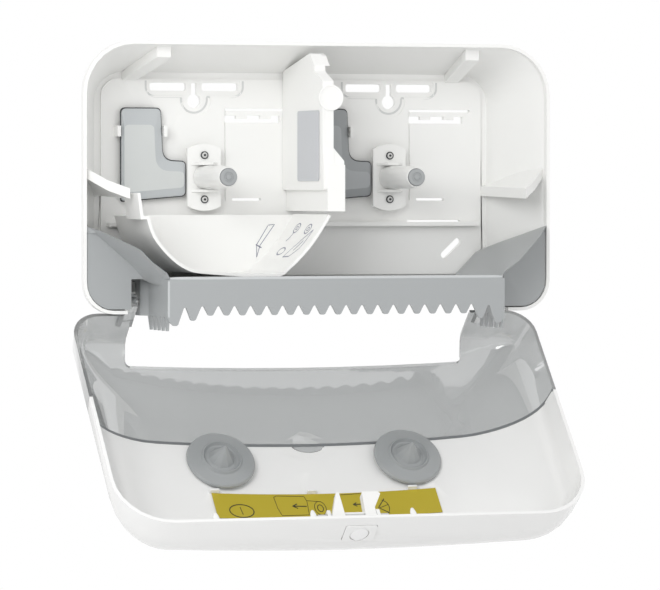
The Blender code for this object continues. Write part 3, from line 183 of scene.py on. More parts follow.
def moulded_grain():
    """Colour = base mixed with a slow noise; roughness = base plus noise; fine height."""
    group = bpy.data.node_groups.new("moulded_grain", "ShaderNodeTree")
    face = group.interface
    for name, kind, value in (("Base", "NodeSocketColor", (0.8, 0.8, 0.8, 1.0)),
                              ("Drift", "NodeSocketFloat", 0.03),
                              ("Roughness", "NodeSocketFloat", 0.35),
                              ("Spread", "NodeSocketFloat", 0.05),
                              ("Grain Scale", "NodeSocketFloat", 2500.0)):
        socket = face.new_socket(name, in_out="INPUT", socket_type=kind)
        socket.default_value = value
    for name, kind in (("Color", "NodeSocketColor"), ("Roughness", "NodeSocketFloat"),
                       ("Height", "NodeSocketFloat")):
        face.new_socket(name, in_out="OUTPUT", socket_type=kind)
    node = group.nodes
    link = group.links.new
    taken = node.new("NodeGroupInput")
    given = node.new("NodeGroupOutput")
    place = node.new("ShaderNodeTexCoord")
    slow = node.new("ShaderNodeTexNoise")
    slow.inputs["Scale"].default_value = drift_scale
    slow.inputs["Detail"].default_value = 3.0
    fine = node.new("ShaderNodeTexNoise")
    fine.inputs["Detail"].default_value = 2.0
    link(place.outputs["Object"], slow.inputs["Vector"])
    link(place.outputs["Object"], fine.inputs["Vector"])
    link(taken.outputs["Grain Scale"], fine.inputs["Scale"])
    shade = node.new("ShaderNodeMapRange")
    link(slow.outputs["Fac"], shade.inputs["Value"])
    shade.inputs["To Min"].default_value = 1.0
    lower = node.new("ShaderNodeMath")
    lower.operation = "SUBTRACT"
    lower.inputs[0].default_value = 1.0
    link(taken.outputs["Drift"], lower.inputs[1])
    link(lower.outputs[0], shade.inputs["To Max"])
    tint = node.new("ShaderNodeVectorMath")
    tint.operation = "SCALE"
    link(taken.outputs["Base"], tint.inputs[0])
    link(shade.outputs[0], tint.inputs["Scale"])
    link(tint.outputs[0], given.inputs["Color"])
    centre = node.new("ShaderNodeMath")
    centre.operation = "SUBTRACT"
    link(slow.outputs["Fac"], centre.inputs[0])
    centre.inputs[1].default_value = noise_middle
    rough = node.new("ShaderNodeMath")
    rough.operation = "MULTIPLY_ADD"
    link(centre.outputs[0], rough.inputs[0])
    link(taken.outputs["Spread"], rough.inputs[1])
    link(taken.outputs["Roughness"], rough.inputs[2])
    link(rough.outputs[0], given.inputs["Roughness"])
    link(fine.outputs["Fac"], given.inputs["Height"])
    return group


grain_group = moulded_grain()
print("grain group of", len(grain_group.nodes), "nodes")


def linear(red, green, blue):
    """Screen colour from 0 to 255 turned into the linear values that a shader takes."""
    channel = np.array([red, green, blue]) / 255.0
    low = channel / 12.92
    high = ((channel + 0.055) / 1.055) ** 2.4
    return tuple(float(v) for v in np.where(channel <= 0.04045, low, high))


def plastic(name, colour, roughness, drift=0.03, spread=0.08, grain=2500.0, bump=0.02,
            coat=0.0):
    """A moulded plastic: the grain group feeds a Principled shader in this material."""
    made = bpy.data.materials.new(name)
    made.use_nodes = True
    tree = made.node_tree
    shader = tree.nodes["Principled BSDF"]
    group = tree.nodes.new("ShaderNodeGroup")
    group.node_tree = grain_group
    group.inputs["Base"].default_value = (*colour, 1.0)
    group.inputs["Drift"].default_value = drift
    group.inputs["Roughness"].default_value = roughness
    group.inputs["Spread"].default_value = spread
    group.inputs["Grain Scale"].default_value = grain
    ripple = tree.nodes.new("ShaderNodeBump")
    ripple.inputs["Strength"].default_value = bump
    ripple.inputs["Distance"].default_value = grain_height
    tree.links.new(group.outputs["Height"], ripple.inputs["Height"])
    tree.links.new(group.outputs["Color"], shader.inputs["Base Color"])
    tree.links.new(group.outputs["Roughness"], shader.inputs["Roughness"])
    tree.links.new(ripple.outputs["Normal"], shader.inputs["Normal"])
    shader.inputs["Coat Weight"].default_value = coat
    return made


# %% [markdown]
# The cover is glossy white and everything inside the housing is satin white, the turning
# sleeves too. The tear bar, the cones and the right lever are mid grey. The left lever is
# painted paler, as painted light on the same grey plastic, and the slopes of both levers are
# painted darker as painted shade. The window is a clear smoke grey, the one plastic that lets
# light through. Screws and pins are plated steel. The last colours are for labels, drawn lines
# and seams, and for painted light and shade: a dark painted shadow in gaps, grooves and
# sockets, pale painted highlights on the edges of the bar and the window, and painted shade
# along a recess.

# %% Plastics, steel and label stock
white_plastic = plastic("glossy_white_plastic", linear(245, 245, 244), 0.2, 0.015, coat=0.3)
inner_white = plastic("satin_white_plastic", linear(246, 246, 244), 0.32, 0.015)
grey_plastic = plastic("mid_grey_plastic", linear(168, 171, 172), 0.33, 0.03)
cone_plastic = plastic("cone_grey_plastic", linear(162, 165, 166), 0.26, 0.03)
button_plastic = plastic("button_white_plastic", linear(250, 250, 250), 0.3, 0.01)
label_stock = plastic("olive_yellow_label", linear(186, 168, 42), 0.5, 0.04, bump=0.01)
label_ink = plastic("dark_olive_ink", linear(62, 60, 34), 0.55, 0.02, bump=0.01)
label_paper = plastic("pale_grey_label", linear(203, 205, 209), 0.55, 0.03, bump=0.01)


def smoke_plastic():
    """Clear plastic with a grey body: transmission lets light pass, base colour stains it."""
    made = plastic("clear_smoke_plastic", linear(208, 210, 210), 0.03, 0.01, 0.02, bump=0.0,
                   coat=1.0)
    shader = made.node_tree.nodes["Principled BSDF"]
    shader.inputs["Transmission Weight"].default_value = 0.72
    shader.inputs["IOR"].default_value = 1.5
    shader.inputs["Coat Roughness"].default_value = 0.02
    shader.inputs["Coat IOR"].default_value = 1.85
    return made


def steel_finish():
    """Zinc-plated steel: metallic, with roughness from the grain group."""
    made = plastic("plated_steel", (0.66, 0.66, 0.65), 0.3, 0.1, 0.2, 900.0, 0.05)
    made.node_tree.nodes["Principled BSDF"].inputs["Metallic"].default_value = 1.0
    return made


# Painted light and shade on the levers: the left lever's paler grey is painted light, and the
# darker slopes of both levers are painted shade.
lever_painted_light = plastic("lever_painted_light_plastic", linear(206, 209, 208), 0.4, 0.02)
left_slope_painted_shade = plastic("left_lever_slope_painted_shade", linear(190, 194, 196), 0.4, 0.02)
right_slope_painted_shade = plastic("right_lever_slope_painted_shade", linear(158, 161, 163), 0.4, 0.02)
dark_lever = plastic("grey_lever_plastic", linear(174, 177, 179), 0.4, 0.02)
# Painted shadow: this dark colour stands for the shade in the gap round the levers and in the
# screw grooves and sockets.
shadow_line = plastic("painted_shadow_dark", linear(70, 72, 74), 0.6, 0.02)
seam_grey = plastic("seam_grey_plastic", linear(126, 129, 131), 0.3, 0.02)
mark_ink = plastic("blue_grey_ink", linear(142, 144, 160), 0.5, 0.02, bump=0.0)
# Painted highlight: the pale strip that stands for the bright cut edge of the window's mouth.
mouth_painted_highlight = plastic("mouth_painted_highlight_plastic", linear(226, 228, 228), 0.15, 0.01, coat=0.5)
# Painted highlight: the paler grey of the tear bar's ridge and corner rods.
bar_painted_highlight = plastic("bar_painted_highlight_plastic", linear(198, 201, 202), 0.25, 0.02, coat=0.4)
# Painted shade: the grey stroke along the lower edge of the recess round the wall fixings.
recess_painted_shade = plastic("recess_painted_shade_plastic", linear(216, 217, 216), 0.4, 0.02)
screw_face = plastic("bright_screw_plating", linear(214, 214, 212), 0.3, 0.05)
smoke = smoke_plastic()
steel = steel_finish()

finishes = {
    "back_shell": inner_white, "centre_partition": inner_white, "roll_shutter": inner_white,
    "spindle_bracket_left": inner_white, "spindle_bracket_right": inner_white,
    "cover_shell": white_plastic, "lock_bezel": white_plastic, "latch_lever": inner_white,
    "lock_button": button_plastic, "tear_bar": grey_plastic, "roll_sensor_left": grey_plastic,
    "roll_sensor_right": grey_plastic, "spindle_sleeve_left": inner_white,
    "spindle_sleeve_right": inner_white, "spindle_cap_left": cone_plastic,
    "spindle_cap_right": cone_plastic, "roll_cone_left": cone_plastic,
    "roll_cone_right": cone_plastic, "cover_window": smoke, "instruction_label": label_stock,
    "partition_label": label_paper, "latch_pin": steel, "hinge_pin_left": steel,
    "hinge_pin_right": steel, "bracket_screw_left_upper": steel,
    "bracket_screw_left_lower": steel, "bracket_screw_right_upper": steel,
    "bracket_screw_right_lower": steel}
for node, finish in finishes.items():
    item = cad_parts[node]
    for slot in item.material_slots:
        slot.material = finish
print("finishes set on", len(finishes), "nodes")

# %% [markdown]
# No moulded edge is perfectly sharp: the tool leaves a radius of about half a millimetre,
# and it is the thin highlight along that radius that makes plastic look like plastic. The
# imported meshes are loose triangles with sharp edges, so each large moulding gets a merged
# copy, its flat areas joined into single faces, with a narrow bevel along the real edges.

# %% Softened copies of the mouldings
merge_reach = 0.002 * MM
flat_angle = 0.3
cover_flat_angle = 0.02


def softened(node, body, width, flat, angle=34.0):
    """A node's mesh with doubles merged, flat triangles joined and its edges rounded."""
    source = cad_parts[node]
    bm = bmesh.new()
    bm.from_mesh(source.data)
    bmesh.ops.remove_doubles(bm, verts=bm.verts, dist=merge_reach)
    bmesh.ops.dissolve_limit(bm, angle_limit=math.radians(flat), verts=bm.verts, edges=bm.edges)
    mesh = bpy.data.meshes.new(node + "_moulding")
    bm.to_mesh(mesh)
    bm.free()
    mesh.materials.append(finishes[node])
    mesh.shade_smooth()
    mesh.set_sharp_from_angle(angle=math.radians(angle))
    item = bpy.data.objects.new(node + "_moulding", mesh)
    scene.collection.objects.link(item)
    edge = item.modifiers.new("edge_radius", "BEVEL")
    edge.width = width
    edge.segments = 2
    edge.limit_method = "ANGLE"
    edge.angle_limit = math.radians(angle)
    edge.harden_normals = True
    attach(item, body)
    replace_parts(item, node)
    return item


mouldings = {"back_shell": ("back_unit", 0.5), "centre_partition": ("back_unit", 0.5),
             "tear_bar": ("back_unit", 0.5), "roll_shutter": ("shutter", 0.4),
             "spindle_bracket_left": ("back_unit", 0.4),
             "spindle_bracket_right": ("back_unit", 0.4),
             "cover_shell": ("cover", 0.4), "cover_window": ("cover", 0.4),
             "latch_lever": ("latch", 0.3), "lock_bezel": ("cover", 0.3)}
for node, (body, width) in mouldings.items():
    softened(node, body, width * MM, cover_flat_angle if body == "cover" else flat_angle)
print("softened", len(mouldings), "mouldings")

# %% [markdown]
# The remaining pieces are surfaces made from arrays. Every one of them is a stack of rings
# with the same number of points, so one function can skin them all: quads between
# neighbouring rings, and one face over each end. Each row of quads may take its own finish.

# %% Skin for a stack of rings
def skin(name, stacks, finish, body, rows=None, angle=35.0, last=None):
    """Join arrays of rings, each shaped (rings, points, 3), into one object on a body.

    Point i, j of a stack has the index i * points + j, which gives the quads by addition.
    rows names the finish of each row of quads, and last the finish of the end face.
    """
    finish = list(finish) if isinstance(finish, (list, tuple)) else [finish]
    points = []
    faces = []
    kinds = []
    base = 0
    for rings in stacks:
        count, wide = rings.shape[:2]
        row, column = np.meshgrid(np.arange(count - 1), np.arange(wide), indexing="ij")
        beside = (column + 1) % wide
        quads = np.stack([row * wide + column, row * wide + beside,
                          (row + 1) * wide + beside, (row + 1) * wide + column], axis=-1)
        faces += (quads.reshape(-1, 4) + base).tolist()
        faces.append((np.arange(wide)[::-1] + base).tolist())
        faces.append((np.arange(wide) + (count - 1) * wide + base).tolist())
        kind = np.zeros(count - 1, int) if rows is None else np.array(rows, int)
        kinds += np.repeat(kind, wide).tolist() + [int(kind[0]), int(last or kind[-1])]
        points.append(rings.reshape(-1, 3))
        base += count * wide
    mesh = bpy.data.meshes.new(name)
    mesh.from_pydata(np.concatenate(points).tolist(), [], faces)
    for material in finish:
        mesh.materials.append(material)
    mesh.polygons.foreach_set("material_index", kinds)
    bm = bmesh.new()
    bm.from_mesh(mesh)
    bmesh.ops.recalc_face_normals(bm, faces=bm.faces)
    bm.to_mesh(mesh)
    bm.free()
    mesh.shade_smooth()
    mesh.set_sharp_from_angle(angle=math.radians(angle))
    item = bpy.data.objects.new(name, mesh)
    scene.collection.objects.link(item)
    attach(item, body)
    print(name, len(mesh.polygons), "faces")
    return item


# %% [markdown]
# The levers that feel how full the rolls are look like flat angle plates with a raised
# middle: the edge drops away in a slope a few millimetres wide, painted a little darker than
# the middle as painted shade. A plate like that is a stack of outlines, each a little smaller
# than the one behind it. A dark line runs round the foot as a painted shadow, where the real
# lever has a gap to the panel.

# %% Lever plates
def inset(corners, distance):
    """Move every side of a clockwise polygon inward by its own distance.

    A corner between sides with normals n1 and n2 moves by a n1 + b n2. The two distances
    give a + b c = d1 and a c + b = d2, where c is the product n1.n2.
    """
    ahead = np.roll(corners, -1, axis=0) - corners
    ahead /= np.linalg.norm(ahead, axis=1, keepdims=True)
    right = np.stack([ahead[:, 1], -ahead[:, 0]], axis=1)
    before = np.roll(right, 1, axis=0)
    own = np.broadcast_to(distance, (len(corners),)).astype(float)
    last = np.roll(own, 1)
    both = np.sum(right * before, axis=1)
    share = (last - both * own) / (1.0 - both ** 2)
    other = (own - both * last) / (1.0 - both ** 2)
    return corners + share[:, None] * before + other[:, None] * right


def round_off(corners, reach, steps=8):
    """Swap each corner for a quadratic curve that starts and ends a reach away from it."""
    back = np.roll(corners, 1, axis=0) - corners
    ahead = np.roll(corners, -1, axis=0) - corners
    back_length = np.linalg.norm(back, axis=1, keepdims=True)
    ahead_length = np.linalg.norm(ahead, axis=1, keepdims=True)
    reach = np.minimum(np.array(reach, float)[:, None],
                       0.48 * np.minimum(back_length, ahead_length))
    start = corners + back / back_length * reach
    end = corners + ahead / ahead_length * reach
    t = np.linspace(0.0, 1.0, steps)[None, :, None]
    curve = ((1 - t) ** 2 * start[:, None] + 2 * t * (1 - t) * corners[:, None]
             + t ** 2 * end[:, None])
    return curve.reshape(-1, 2)


foot_left = 2.6 * MM
stem_top = 0.61
stem_foot = 0.645
arm_inner = 0.435
arm_outer = 0.425
arm_foot = 0.06
lever_reach = np.array([4.0, 4.0, 11.0, 3.5, 3.5, 2.5]) * MM
slope_width = np.array([12.0, 6.0, 7.4, 1.5, 6.0, 1.5])
lever_steps = [(-0.8, 0.0), (-0.8, 0.5), (0.0, 0.5), (0.0, 2.0), (0.7, 2.5), (slope_width, 4.1)]


def lever_plate(node, body, finish, slope):
    """Outlines of the angle plate, each at its own inset and height over the node's rear."""
    low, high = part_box(node)
    left = low.x + foot_left
    right = high.x
    top = high.z
    bottom = low.z
    wide = right - left
    tall = top - bottom
    corners = np.array([[left, top], [left + stem_top * wide, top],
                        [left + stem_foot * wide, bottom + arm_inner * tall],
                        [right, bottom + arm_outer * tall], [right, bottom + arm_foot * tall],
                        [left, bottom]])
    rings = []
    for shrink, height in lever_steps:
        outline = round_off(inset(corners, shrink * MM), lever_reach)
        depth = np.full((len(outline), 1), high.y - height * MM)
        rings.append(np.hstack([outline[:, :1], depth, outline[:, 1:]]))
    plate = skin(node + "_plate", [np.array(rings)], [shadow_line, slope, finish], body,
                 rows=[0, 0, 1, 1, 1], angle=12.0, last=2)
    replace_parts(plate, node)
    return plate


# The left lever is painted paler than the right one as painted light. Both are the same grey
# plastic.
lever_plate("roll_sensor_left", "sensor_left", lever_painted_light, left_slope_painted_shade)
lever_plate("roll_sensor_right", "sensor_right", dark_lever, right_slope_painted_shade)

# %% [markdown]
# A screw head, a sleeve and a cone are turned shapes: a profile of radius and depth, carried
# once round its axis. The screws are pan heads with a groove round a bright face and a small
# round socket. The rim with its groove and the socket are painted dark as painted shade. The
# spindles end in shallow domes with a ring groove.

# %% Turned pieces
def lathe(centre_x, centre_z, profile, steps=48):
    """Ring i holds the profile's point i at every angle: x + r cos, depth, z + r sin."""
    turn = np.linspace(0.0, 2.0 * np.pi, steps, endpoint=False)[None, :]
    radius, depth = (np.array(profile, float) * MM).T[:, :, None]
    x = centre_x + radius * np.cos(turn)
    z = centre_z + radius * np.sin(turn)
    return np.stack([x, np.broadcast_to(-depth, x.shape), z], axis=-1)


# Each pair is a radius and how far that point lies behind the front of the head.
head_profile = ((2.9, 1.6), (2.9, 0.7), (2.75, 0.5), (2.25, 0.5), (2.15, 0.8), (2.0, 0.35),
                (1.4, 0.05), (0.95, 0.0), (0.85, 0.9), (0.1, 0.9))
for node in sorted(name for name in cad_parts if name.startswith("bracket_screw")):
    low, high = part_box(node)
    face = -low.y / MM
    head = [(radius, face - drop) for radius, drop in head_profile]
    ring = lathe(0.5 * (low.x + high.x), 0.5 * (low.z + high.z), head)
    # The rim, its groove and the socket take the painted shadow colour, and the dome face is
    # bright.
    cap = skin(node + "_head", [ring], [screw_face, shadow_line], "back_unit",
               rows=[1, 1, 1, 1, 0, 0, 0, 1, 1])
    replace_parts(cap, node)

for side in ("left", "right"):
    node = "spindle_cap_" + side
    low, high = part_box(node)
    face = -low.y / MM
    radius = 0.5 * (high.x - low.x) / MM
    dome = [(radius, face - 3.4), (radius, face - 1.0), (radius - 0.3, face - 0.6),
            (radius - 1.5, face - 0.35), (3.7, face - 0.3), (3.4, face - 0.9),
            (2.3, face - 0.9), (1.9, face - 0.2), (1.2, face), (0.1, face)]
    ring = lathe(0.5 * (low.x + high.x), 0.5 * (low.z + high.z), dome)
    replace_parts(skin(node + "_dome", [ring], cone_plastic, "spindle_" + side), node)

# %% [markdown]
# What is printed on the cover is drawn for a shut cover and then turned with it. The same
# turn about the hinge line places every mark: the depth and the height are measured from
# the hinge, rotated, and measured back.

# %% Turn from the shut cover to the open one
cover_angle = math.radians(137.0)
hinge_depth = 47.0 * MM
hinge_drop = 91.0 * MM
front_depth = 131.0 * MM
front_crown = 17.2 * MM
cover_half = 181.0 * MM
side_radius = 61.5 * MM
cover_rear = 68.2 * MM
wall = 2.5 * MM


def opened(points):
    """Turn points (x, depth, z) of the shut cover about the hinge line."""
    x, depth, z = np.moveaxis(points, -1, 0)
    out = depth - hinge_depth
    rise = z + hinge_drop
    new_depth = hinge_depth + out * math.cos(cover_angle) + rise * math.sin(cover_angle)
    new_z = -hinge_drop + rise * math.cos(cover_angle) - out * math.sin(cover_angle)
    return np.stack([x, -new_depth, new_z], axis=-1)


print("cover open by", round(math.degrees(cover_angle), 1), "degrees")


# %% [markdown]
# The window is welded to the white part along one line, and the weld shows as a darker band
# right round the inside. Its route is the inner outline of the cover at that height: up one
# side, where the wall follows a quarter circle, across the bowed front and back down.

# %% Weld band between the window and the white part
def inner_side(depth):
    """Half width inside the cover: straight, then the circle that turns the side over."""
    run = np.clip(depth - (front_depth - side_radius), 0.0, side_radius - wall)
    return cover_half - side_radius + np.sqrt((side_radius - wall) ** 2 - run ** 2)


def bowed(x, depth):
    """The bow takes the crown off the depth with the square of x and of the depth's share."""
    share = (depth - cover_rear) / (front_depth - cover_rear)
    return depth - front_crown * share ** 2 * (x / cover_half) ** 2


side_points = 40
front_points = 60
side_crowding = 1.6
band_low = -20.3
band_high = -17.9
band_sunk = -0.2
band_proud = 0.3
side_share = np.linspace(1.0, 0.0, side_points) ** side_crowding
side_depth = front_depth - wall - (front_depth - wall - cover_rear) * side_share
side_x = inner_side(side_depth)
front_x = np.linspace(-side_x[-1], side_x[-1], front_points)[1:-1]
band_x = np.concatenate([-side_x, front_x, side_x[::-1]])
band_depth = np.concatenate([side_depth, np.full(front_x.shape, front_depth - wall),
                             side_depth[::-1]])
band_depth = bowed(band_x, band_depth)
along = np.gradient(np.stack([band_x, band_depth], axis=1), axis=0)
along /= np.linalg.norm(along, axis=1, keepdims=True)
inward = np.stack([along[:, 1], -along[:, 0]], axis=1)
band_z = np.array([band_low, band_high, band_high, band_low]) * MM
band_lift = np.array([band_sunk, band_sunk, band_proud, band_proud]) * MM
band = np.stack([band_x[:, None] + inward[:, :1] * band_lift,
                 band_depth[:, None] + inward[:, 1:] * band_lift,
                 np.broadcast_to(band_z, (len(band_x), 4))], axis=-1)
skin("window_weld_band", [opened(band)], seam_grey, "cover")

# %% [markdown]
# The olive label carries thin line drawings: a gauge, a roll pushed into a box and a fan of
# lines. Each is a flat ribbon between a third of a millimetre and one millimetre wide, drawn
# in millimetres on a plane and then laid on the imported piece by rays. The marks on the
# shutter are made in the same way.

# %% Line drawings on the label and the shutter
ribbon_height = 0.12
laid_gap = 0.03 * MM


def ribbon(path, width, closed=False):
    """Rings of four points: half the width to both sides of the path, at two heights."""
    path = np.array(path, float) * MM
    if closed:
        path = np.vstack([path, path[:1]])
    step = np.gradient(path, axis=0)
    if closed:
        step[0] = step[-1] = path[1] - path[-2]
    step /= np.linalg.norm(step, axis=1, keepdims=True)
    across = np.stack([-step[:, 1], step[:, 0]], axis=1) * 0.5 * width * MM
    flat = np.stack([path + across, path - across, path - across, path + across], axis=1)
    lift = np.broadcast_to(np.array([0.0, 0.0, ribbon_height, ribbon_height])[:, None] * MM,
                           (len(path), 4, 1))
    return np.concatenate([flat, lift], axis=2)


def oval(x, z, wide, tall, steps=36, first=0.0, last=360.0):
    """Points x + wide cos t, z + tall sin t, from the first angle to the last."""
    turn = np.radians(np.linspace(first, last, steps, endpoint=last - first < 359.0))
    return np.stack([x + wide * np.cos(turn), z + tall * np.sin(turn)], axis=1)


def line(*corners, steps=6):
    """Straight runs between corners, divided so that they can follow a bow."""
    corners = np.array(corners, float)
    t = np.linspace(0.0, 1.0, steps)[:, None]
    runs = [a + (b - a) * t for a, b in zip(corners, corners[1:])]
    return np.concatenate([runs[0]] + [run[1:] for run in runs[1:]])


def laid(node, starts, ends, lift):
    """Move each start along its line to an end until it meets the node, less the lift."""
    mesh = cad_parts[node].data
    corners = [vertex.co.copy() for vertex in mesh.vertices]
    tree = BVHTree.FromPolygons(corners, [tuple(face.vertices) for face in mesh.polygons])
    placed = np.empty(starts.shape)
    for index in np.ndindex(starts.shape[:-1]):
        start = Vector(starts[index])
        way = (Vector(ends[index]) - start).normalized()
        hit = tree.ray_cast(start, way)[0]
        place = Vector(ends[index]) if hit is None else hit
        placed[index] = place - way * (laid_gap + lift[index])
    return placed


def on_cover(node, rings, near_depth, far_depth):
    """Lay rings (x, z, lift) on a piece of the cover, straight outward from its inside."""
    x, z, lift = np.moveaxis(rings, -1, 0)
    near = opened(np.stack([x, np.full(x.shape, near_depth), z], axis=-1))
    far = opened(np.stack([x, np.full(x.shape, far_depth), z], axis=-1))
    return laid(node, near, far, lift)


def on_rear(node, rings, near_depth, reach):
    """Lay rings (x, z, lift) on a piece of the back unit or the shutter, straight rearward."""
    x, z, lift = np.moveaxis(rings, -1, 0)
    near = np.stack([x, np.full(x.shape, -near_depth), z], axis=-1)
    return laid(node, near, near + np.array([0.0, reach, 0.0]), lift)


thick = [ribbon(oval(-66.0, 44.2, 9.4, 6.0), 0.8, True),
         ribbon(line((-66.6, 40.6), (-65.6, 47.6)), 0.5),
         ribbon(line((-14.5, 39.6), (-25.0, 39.2)), 0.9),
         ribbon(line((-21.5, 37.2), (-25.4, 39.2), (-21.6, 41.4)), 0.8),
         ribbon(line((29.0, 39.0), (22.0, 39.0)), 0.9),
         ribbon(line((24.6, 37.4), (21.8, 39.0), (24.6, 40.8)), 0.8),
         ribbon(line((46.5, 35.0), (40.5, 43.0), (48.0, 48.6)), 0.7)]
thin = [ribbon(line((-38.2, 31.0), (-36.0, 29.6), (-14.6, 30.2), (-13.4, 34.2)), 0.4),
        ribbon(line((-38.2, 31.0), (-37.4, 41.0), (-35.4, 48.2), (-14.0, 47.6)), 0.4),
        ribbon(line((-13.4, 34.2), (-3.2, 35.4)), 0.4),
        ribbon(line((-13.8, 47.6), (-5.4, 48.0)), 0.4),
        ribbon(line((-13.2, 34.6), (-14.2, 47.4)), 0.35),
        ribbon(oval(-4.2, 41.6, 4.4, 6.4), 0.45, True),
        ribbon(oval(-4.2, 41.6, 2.2, 3.2), 0.6, True),
        ribbon(line((9.6, 40.0), (8.6, 31.4), (10.4, 29.6), (30.0, 29.0)), 0.4),
        ribbon(oval(42.4, 43.0, 6.4, 7.4, 20, -70.0, 75.0), 0.5),
        ribbon(line((41.0, 43.4), (48.4, 40.6)), 0.5)]
label_near = 100.0 * MM
label_far = 127.0 * MM
skin("label_lines", [on_cover("instruction_label", rings, label_near, label_far)
                     for rings in thick + thin], label_ink, "cover")

tray_middle = 60.0 * MM
tray_near = 24.0 * MM
tray_reach = 12.0 * MM


def on_side(rings):
    """Lay rings (depth, z, lift) on the curved side of the shutter, from its middle."""
    depth, z, lift = np.moveaxis(rings, -1, 0)
    near = np.stack([np.full(depth.shape, -tray_middle), -depth, z], axis=-1)
    far = near + np.array([tray_middle, 0.0, 0.0])
    return laid("roll_shutter", near, far, lift)


side_marks = [ribbon(oval(45.0, -37.6, 5.0, 3.4), 0.8, True),
              ribbon(oval(45.0, -37.6, 1.8, 1.2), 0.6, True),
              ribbon(line((44.0, -41.0), (42.0, -45.4), (39.0, -47.0)), 0.8),
              ribbon(oval(71.0, -38.0, 5.2, 3.4), 0.8, True),
              ribbon(oval(71.0, -38.0, 2.0, 1.3), 0.6, True),
              ribbon(oval(47.0, -54.6, 6.4, 2.6), 0.8, True),
              ribbon(line((62.0, -58.6), (74.0, -58.0), (82.0, -52.0), (84.0, -38.6)), 0.8),
              ribbon(line((62.0, -58.6), (66.0, -52.0), (74.0, -45.0), (84.0, -38.6)), 0.8),
              ribbon(line((72.0, -53.6), (78.0, -46.6)), 1.0)]
back_marks = [ribbon(line((-19.4, -35.0), (-30.8, -50.6), (-33.4, -59.4)), 0.5),
              ribbon(line((-24.6, -36.0), (-33.4, -50.0), (-33.4, -59.4)), 0.5),
              ribbon(line((-29.6, -52.4), (-34.0, -50.0)), 0.8),
              ribbon(line((-20.0, -35.0), (-24.4, -35.6)), 0.5)]
side_stacks = [on_side(rings) for rings in side_marks]
back_stacks = [on_rear("roll_shutter", rings, tray_near, tray_reach) for rings in back_marks]
skin("shutter_lines", side_stacks + back_stacks, mark_ink, "shutter")

# %% [markdown]
# The wall fixings sit in a shallow recess of the panel: its edge runs below the two slots
# and swings round the keyhole in a circle. The shade along that edge is painted: one grey
# stroke of painted shade, laid on the imported panel.

# %% Painted shade along the edge of the recess round the fixings
low_edge = 59.8
ring_middle = 58.2
ring_radius = 10.2
turn_wide = 8.0
turn_tall = 7.2
left_turn_place = 29.5
right_turn_place = 30.0
left_end = 37.5
right_end = 38.0
end_rise = 11.8
recess_width = 1.5
panel_near = 20.0 * MM
panel_reach = 16.5 * MM
keyhole_places = (-78.0, 75.7)


def recess_edge(middle):
    """Quarter turn, circle below the keyhole and quarter turn, joined by straight runs."""
    turn_z = low_edge + turn_tall
    top = low_edge + end_rise
    left_turn = oval(middle - left_turn_place, turn_z, turn_wide, turn_tall, 10, 180.0, 270.0)
    ring = oval(middle, ring_middle, ring_radius, ring_radius, 36, 171.0, 369.0)
    right_turn = oval(middle + right_turn_place, turn_z, turn_wide, turn_tall, 10, 270.0, 360.0)
    return np.concatenate([[[middle - left_end, top]], left_turn, ring, right_turn,
                           [[middle + right_end, top]]])


edges = [ribbon(recess_edge(middle), recess_width) for middle in keyhole_places]
skin("recess_edge_painted_shade", [on_rear("back_shell", rings, panel_near, panel_reach) for rings in edges],
     recess_painted_shade, "back_unit")

# %% [markdown]
# Each cone is turned as well, round an axis that stands square on the front of the cover:
# a disc with a folded rim, a low ring, a hollow and a spike. The spike is faceted, so the
# radius of its rings follows a regular polygon instead of a circle.

# %% Cones with faceted spikes
facets = 10
disc_gap = 1.5
spike_depth = 105.5
cone_axis_z = -1.0 * MM
cone_steps = 12 * facets
cone_turn = np.linspace(0.0, 2.0 * np.pi, cone_steps, endpoint=False)
sector = 2.0 * np.pi / facets
polygon = math.cos(0.5 * sector) / np.cos(np.mod(cone_turn, sector) - 0.5 * sector)


def cone_piece(node, body):
    """Rings (radius, height over the disc's rear, share of polygon) round a shut axis."""
    low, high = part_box(node)
    centre_x = 0.5 * (low.x + high.x)
    crown = front_crown / MM * (centre_x / cover_half) ** 2
    rear = (front_depth - wall) / MM - disc_gap - crown
    tip = rear - spike_depth
    profile = [(1.0, 0.6, 0), (25.2, 0.6, 0), (25.9, 1.4, 0), (25.6, 2.8, 0), (24.6, 3.9, 0),
               (23.4, 4.3, 0), (16.6, 4.9, 0), (15.6, 5.2, 0), (15.0, 6.4, 0), (14.6, 7.0, 0),
               (14.0, 7.0, 0), (13.6, 6.2, 0), (12.6, 4.6, 0), (11.4, 4.2, 0), (9.9, 5.0, 1),
               (8.6, 6.6, 1), (0.6, tip, 1), (0.1, tip, 1)]
    rings = []
    for radius, height, share in profile:
        reach = radius * MM * (1.0 + share * (polygon - 1.0))
        rings.append(np.stack([centre_x + reach * np.cos(cone_turn),
                               np.full(cone_steps, (rear - height) * MM),
                               cone_axis_z + reach * np.sin(cone_turn)], axis=1))
    piece = skin(node + "_turned", [opened(np.array(rings))], cone_plastic, body, angle=16.0)
    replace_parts(piece, node)


cone_piece("roll_cone_left", "cone_left")
cone_piece("roll_cone_right", "cone_right")

# %% [markdown]
# Three small catches stand on the top wall of the cover near its edge. Each is a wedge: a
# foot on the wall and a crest that is shorter than the foot.

# %% Catches on the edge of the cover
catch_height = 8.5
catch_depth = 72.0
catch_foot = 96.6
catch_places = (-108.5, -35.5, 40.6)
catch_steps = ((0.0, 2.8, 1.3), (0.6, 2.2, 1.2), (0.92, 1.3, 1.0), (1.0, 0.7, 0.6))
catch_turn = np.radians(np.arange(0.0, 360.0, 20.0))


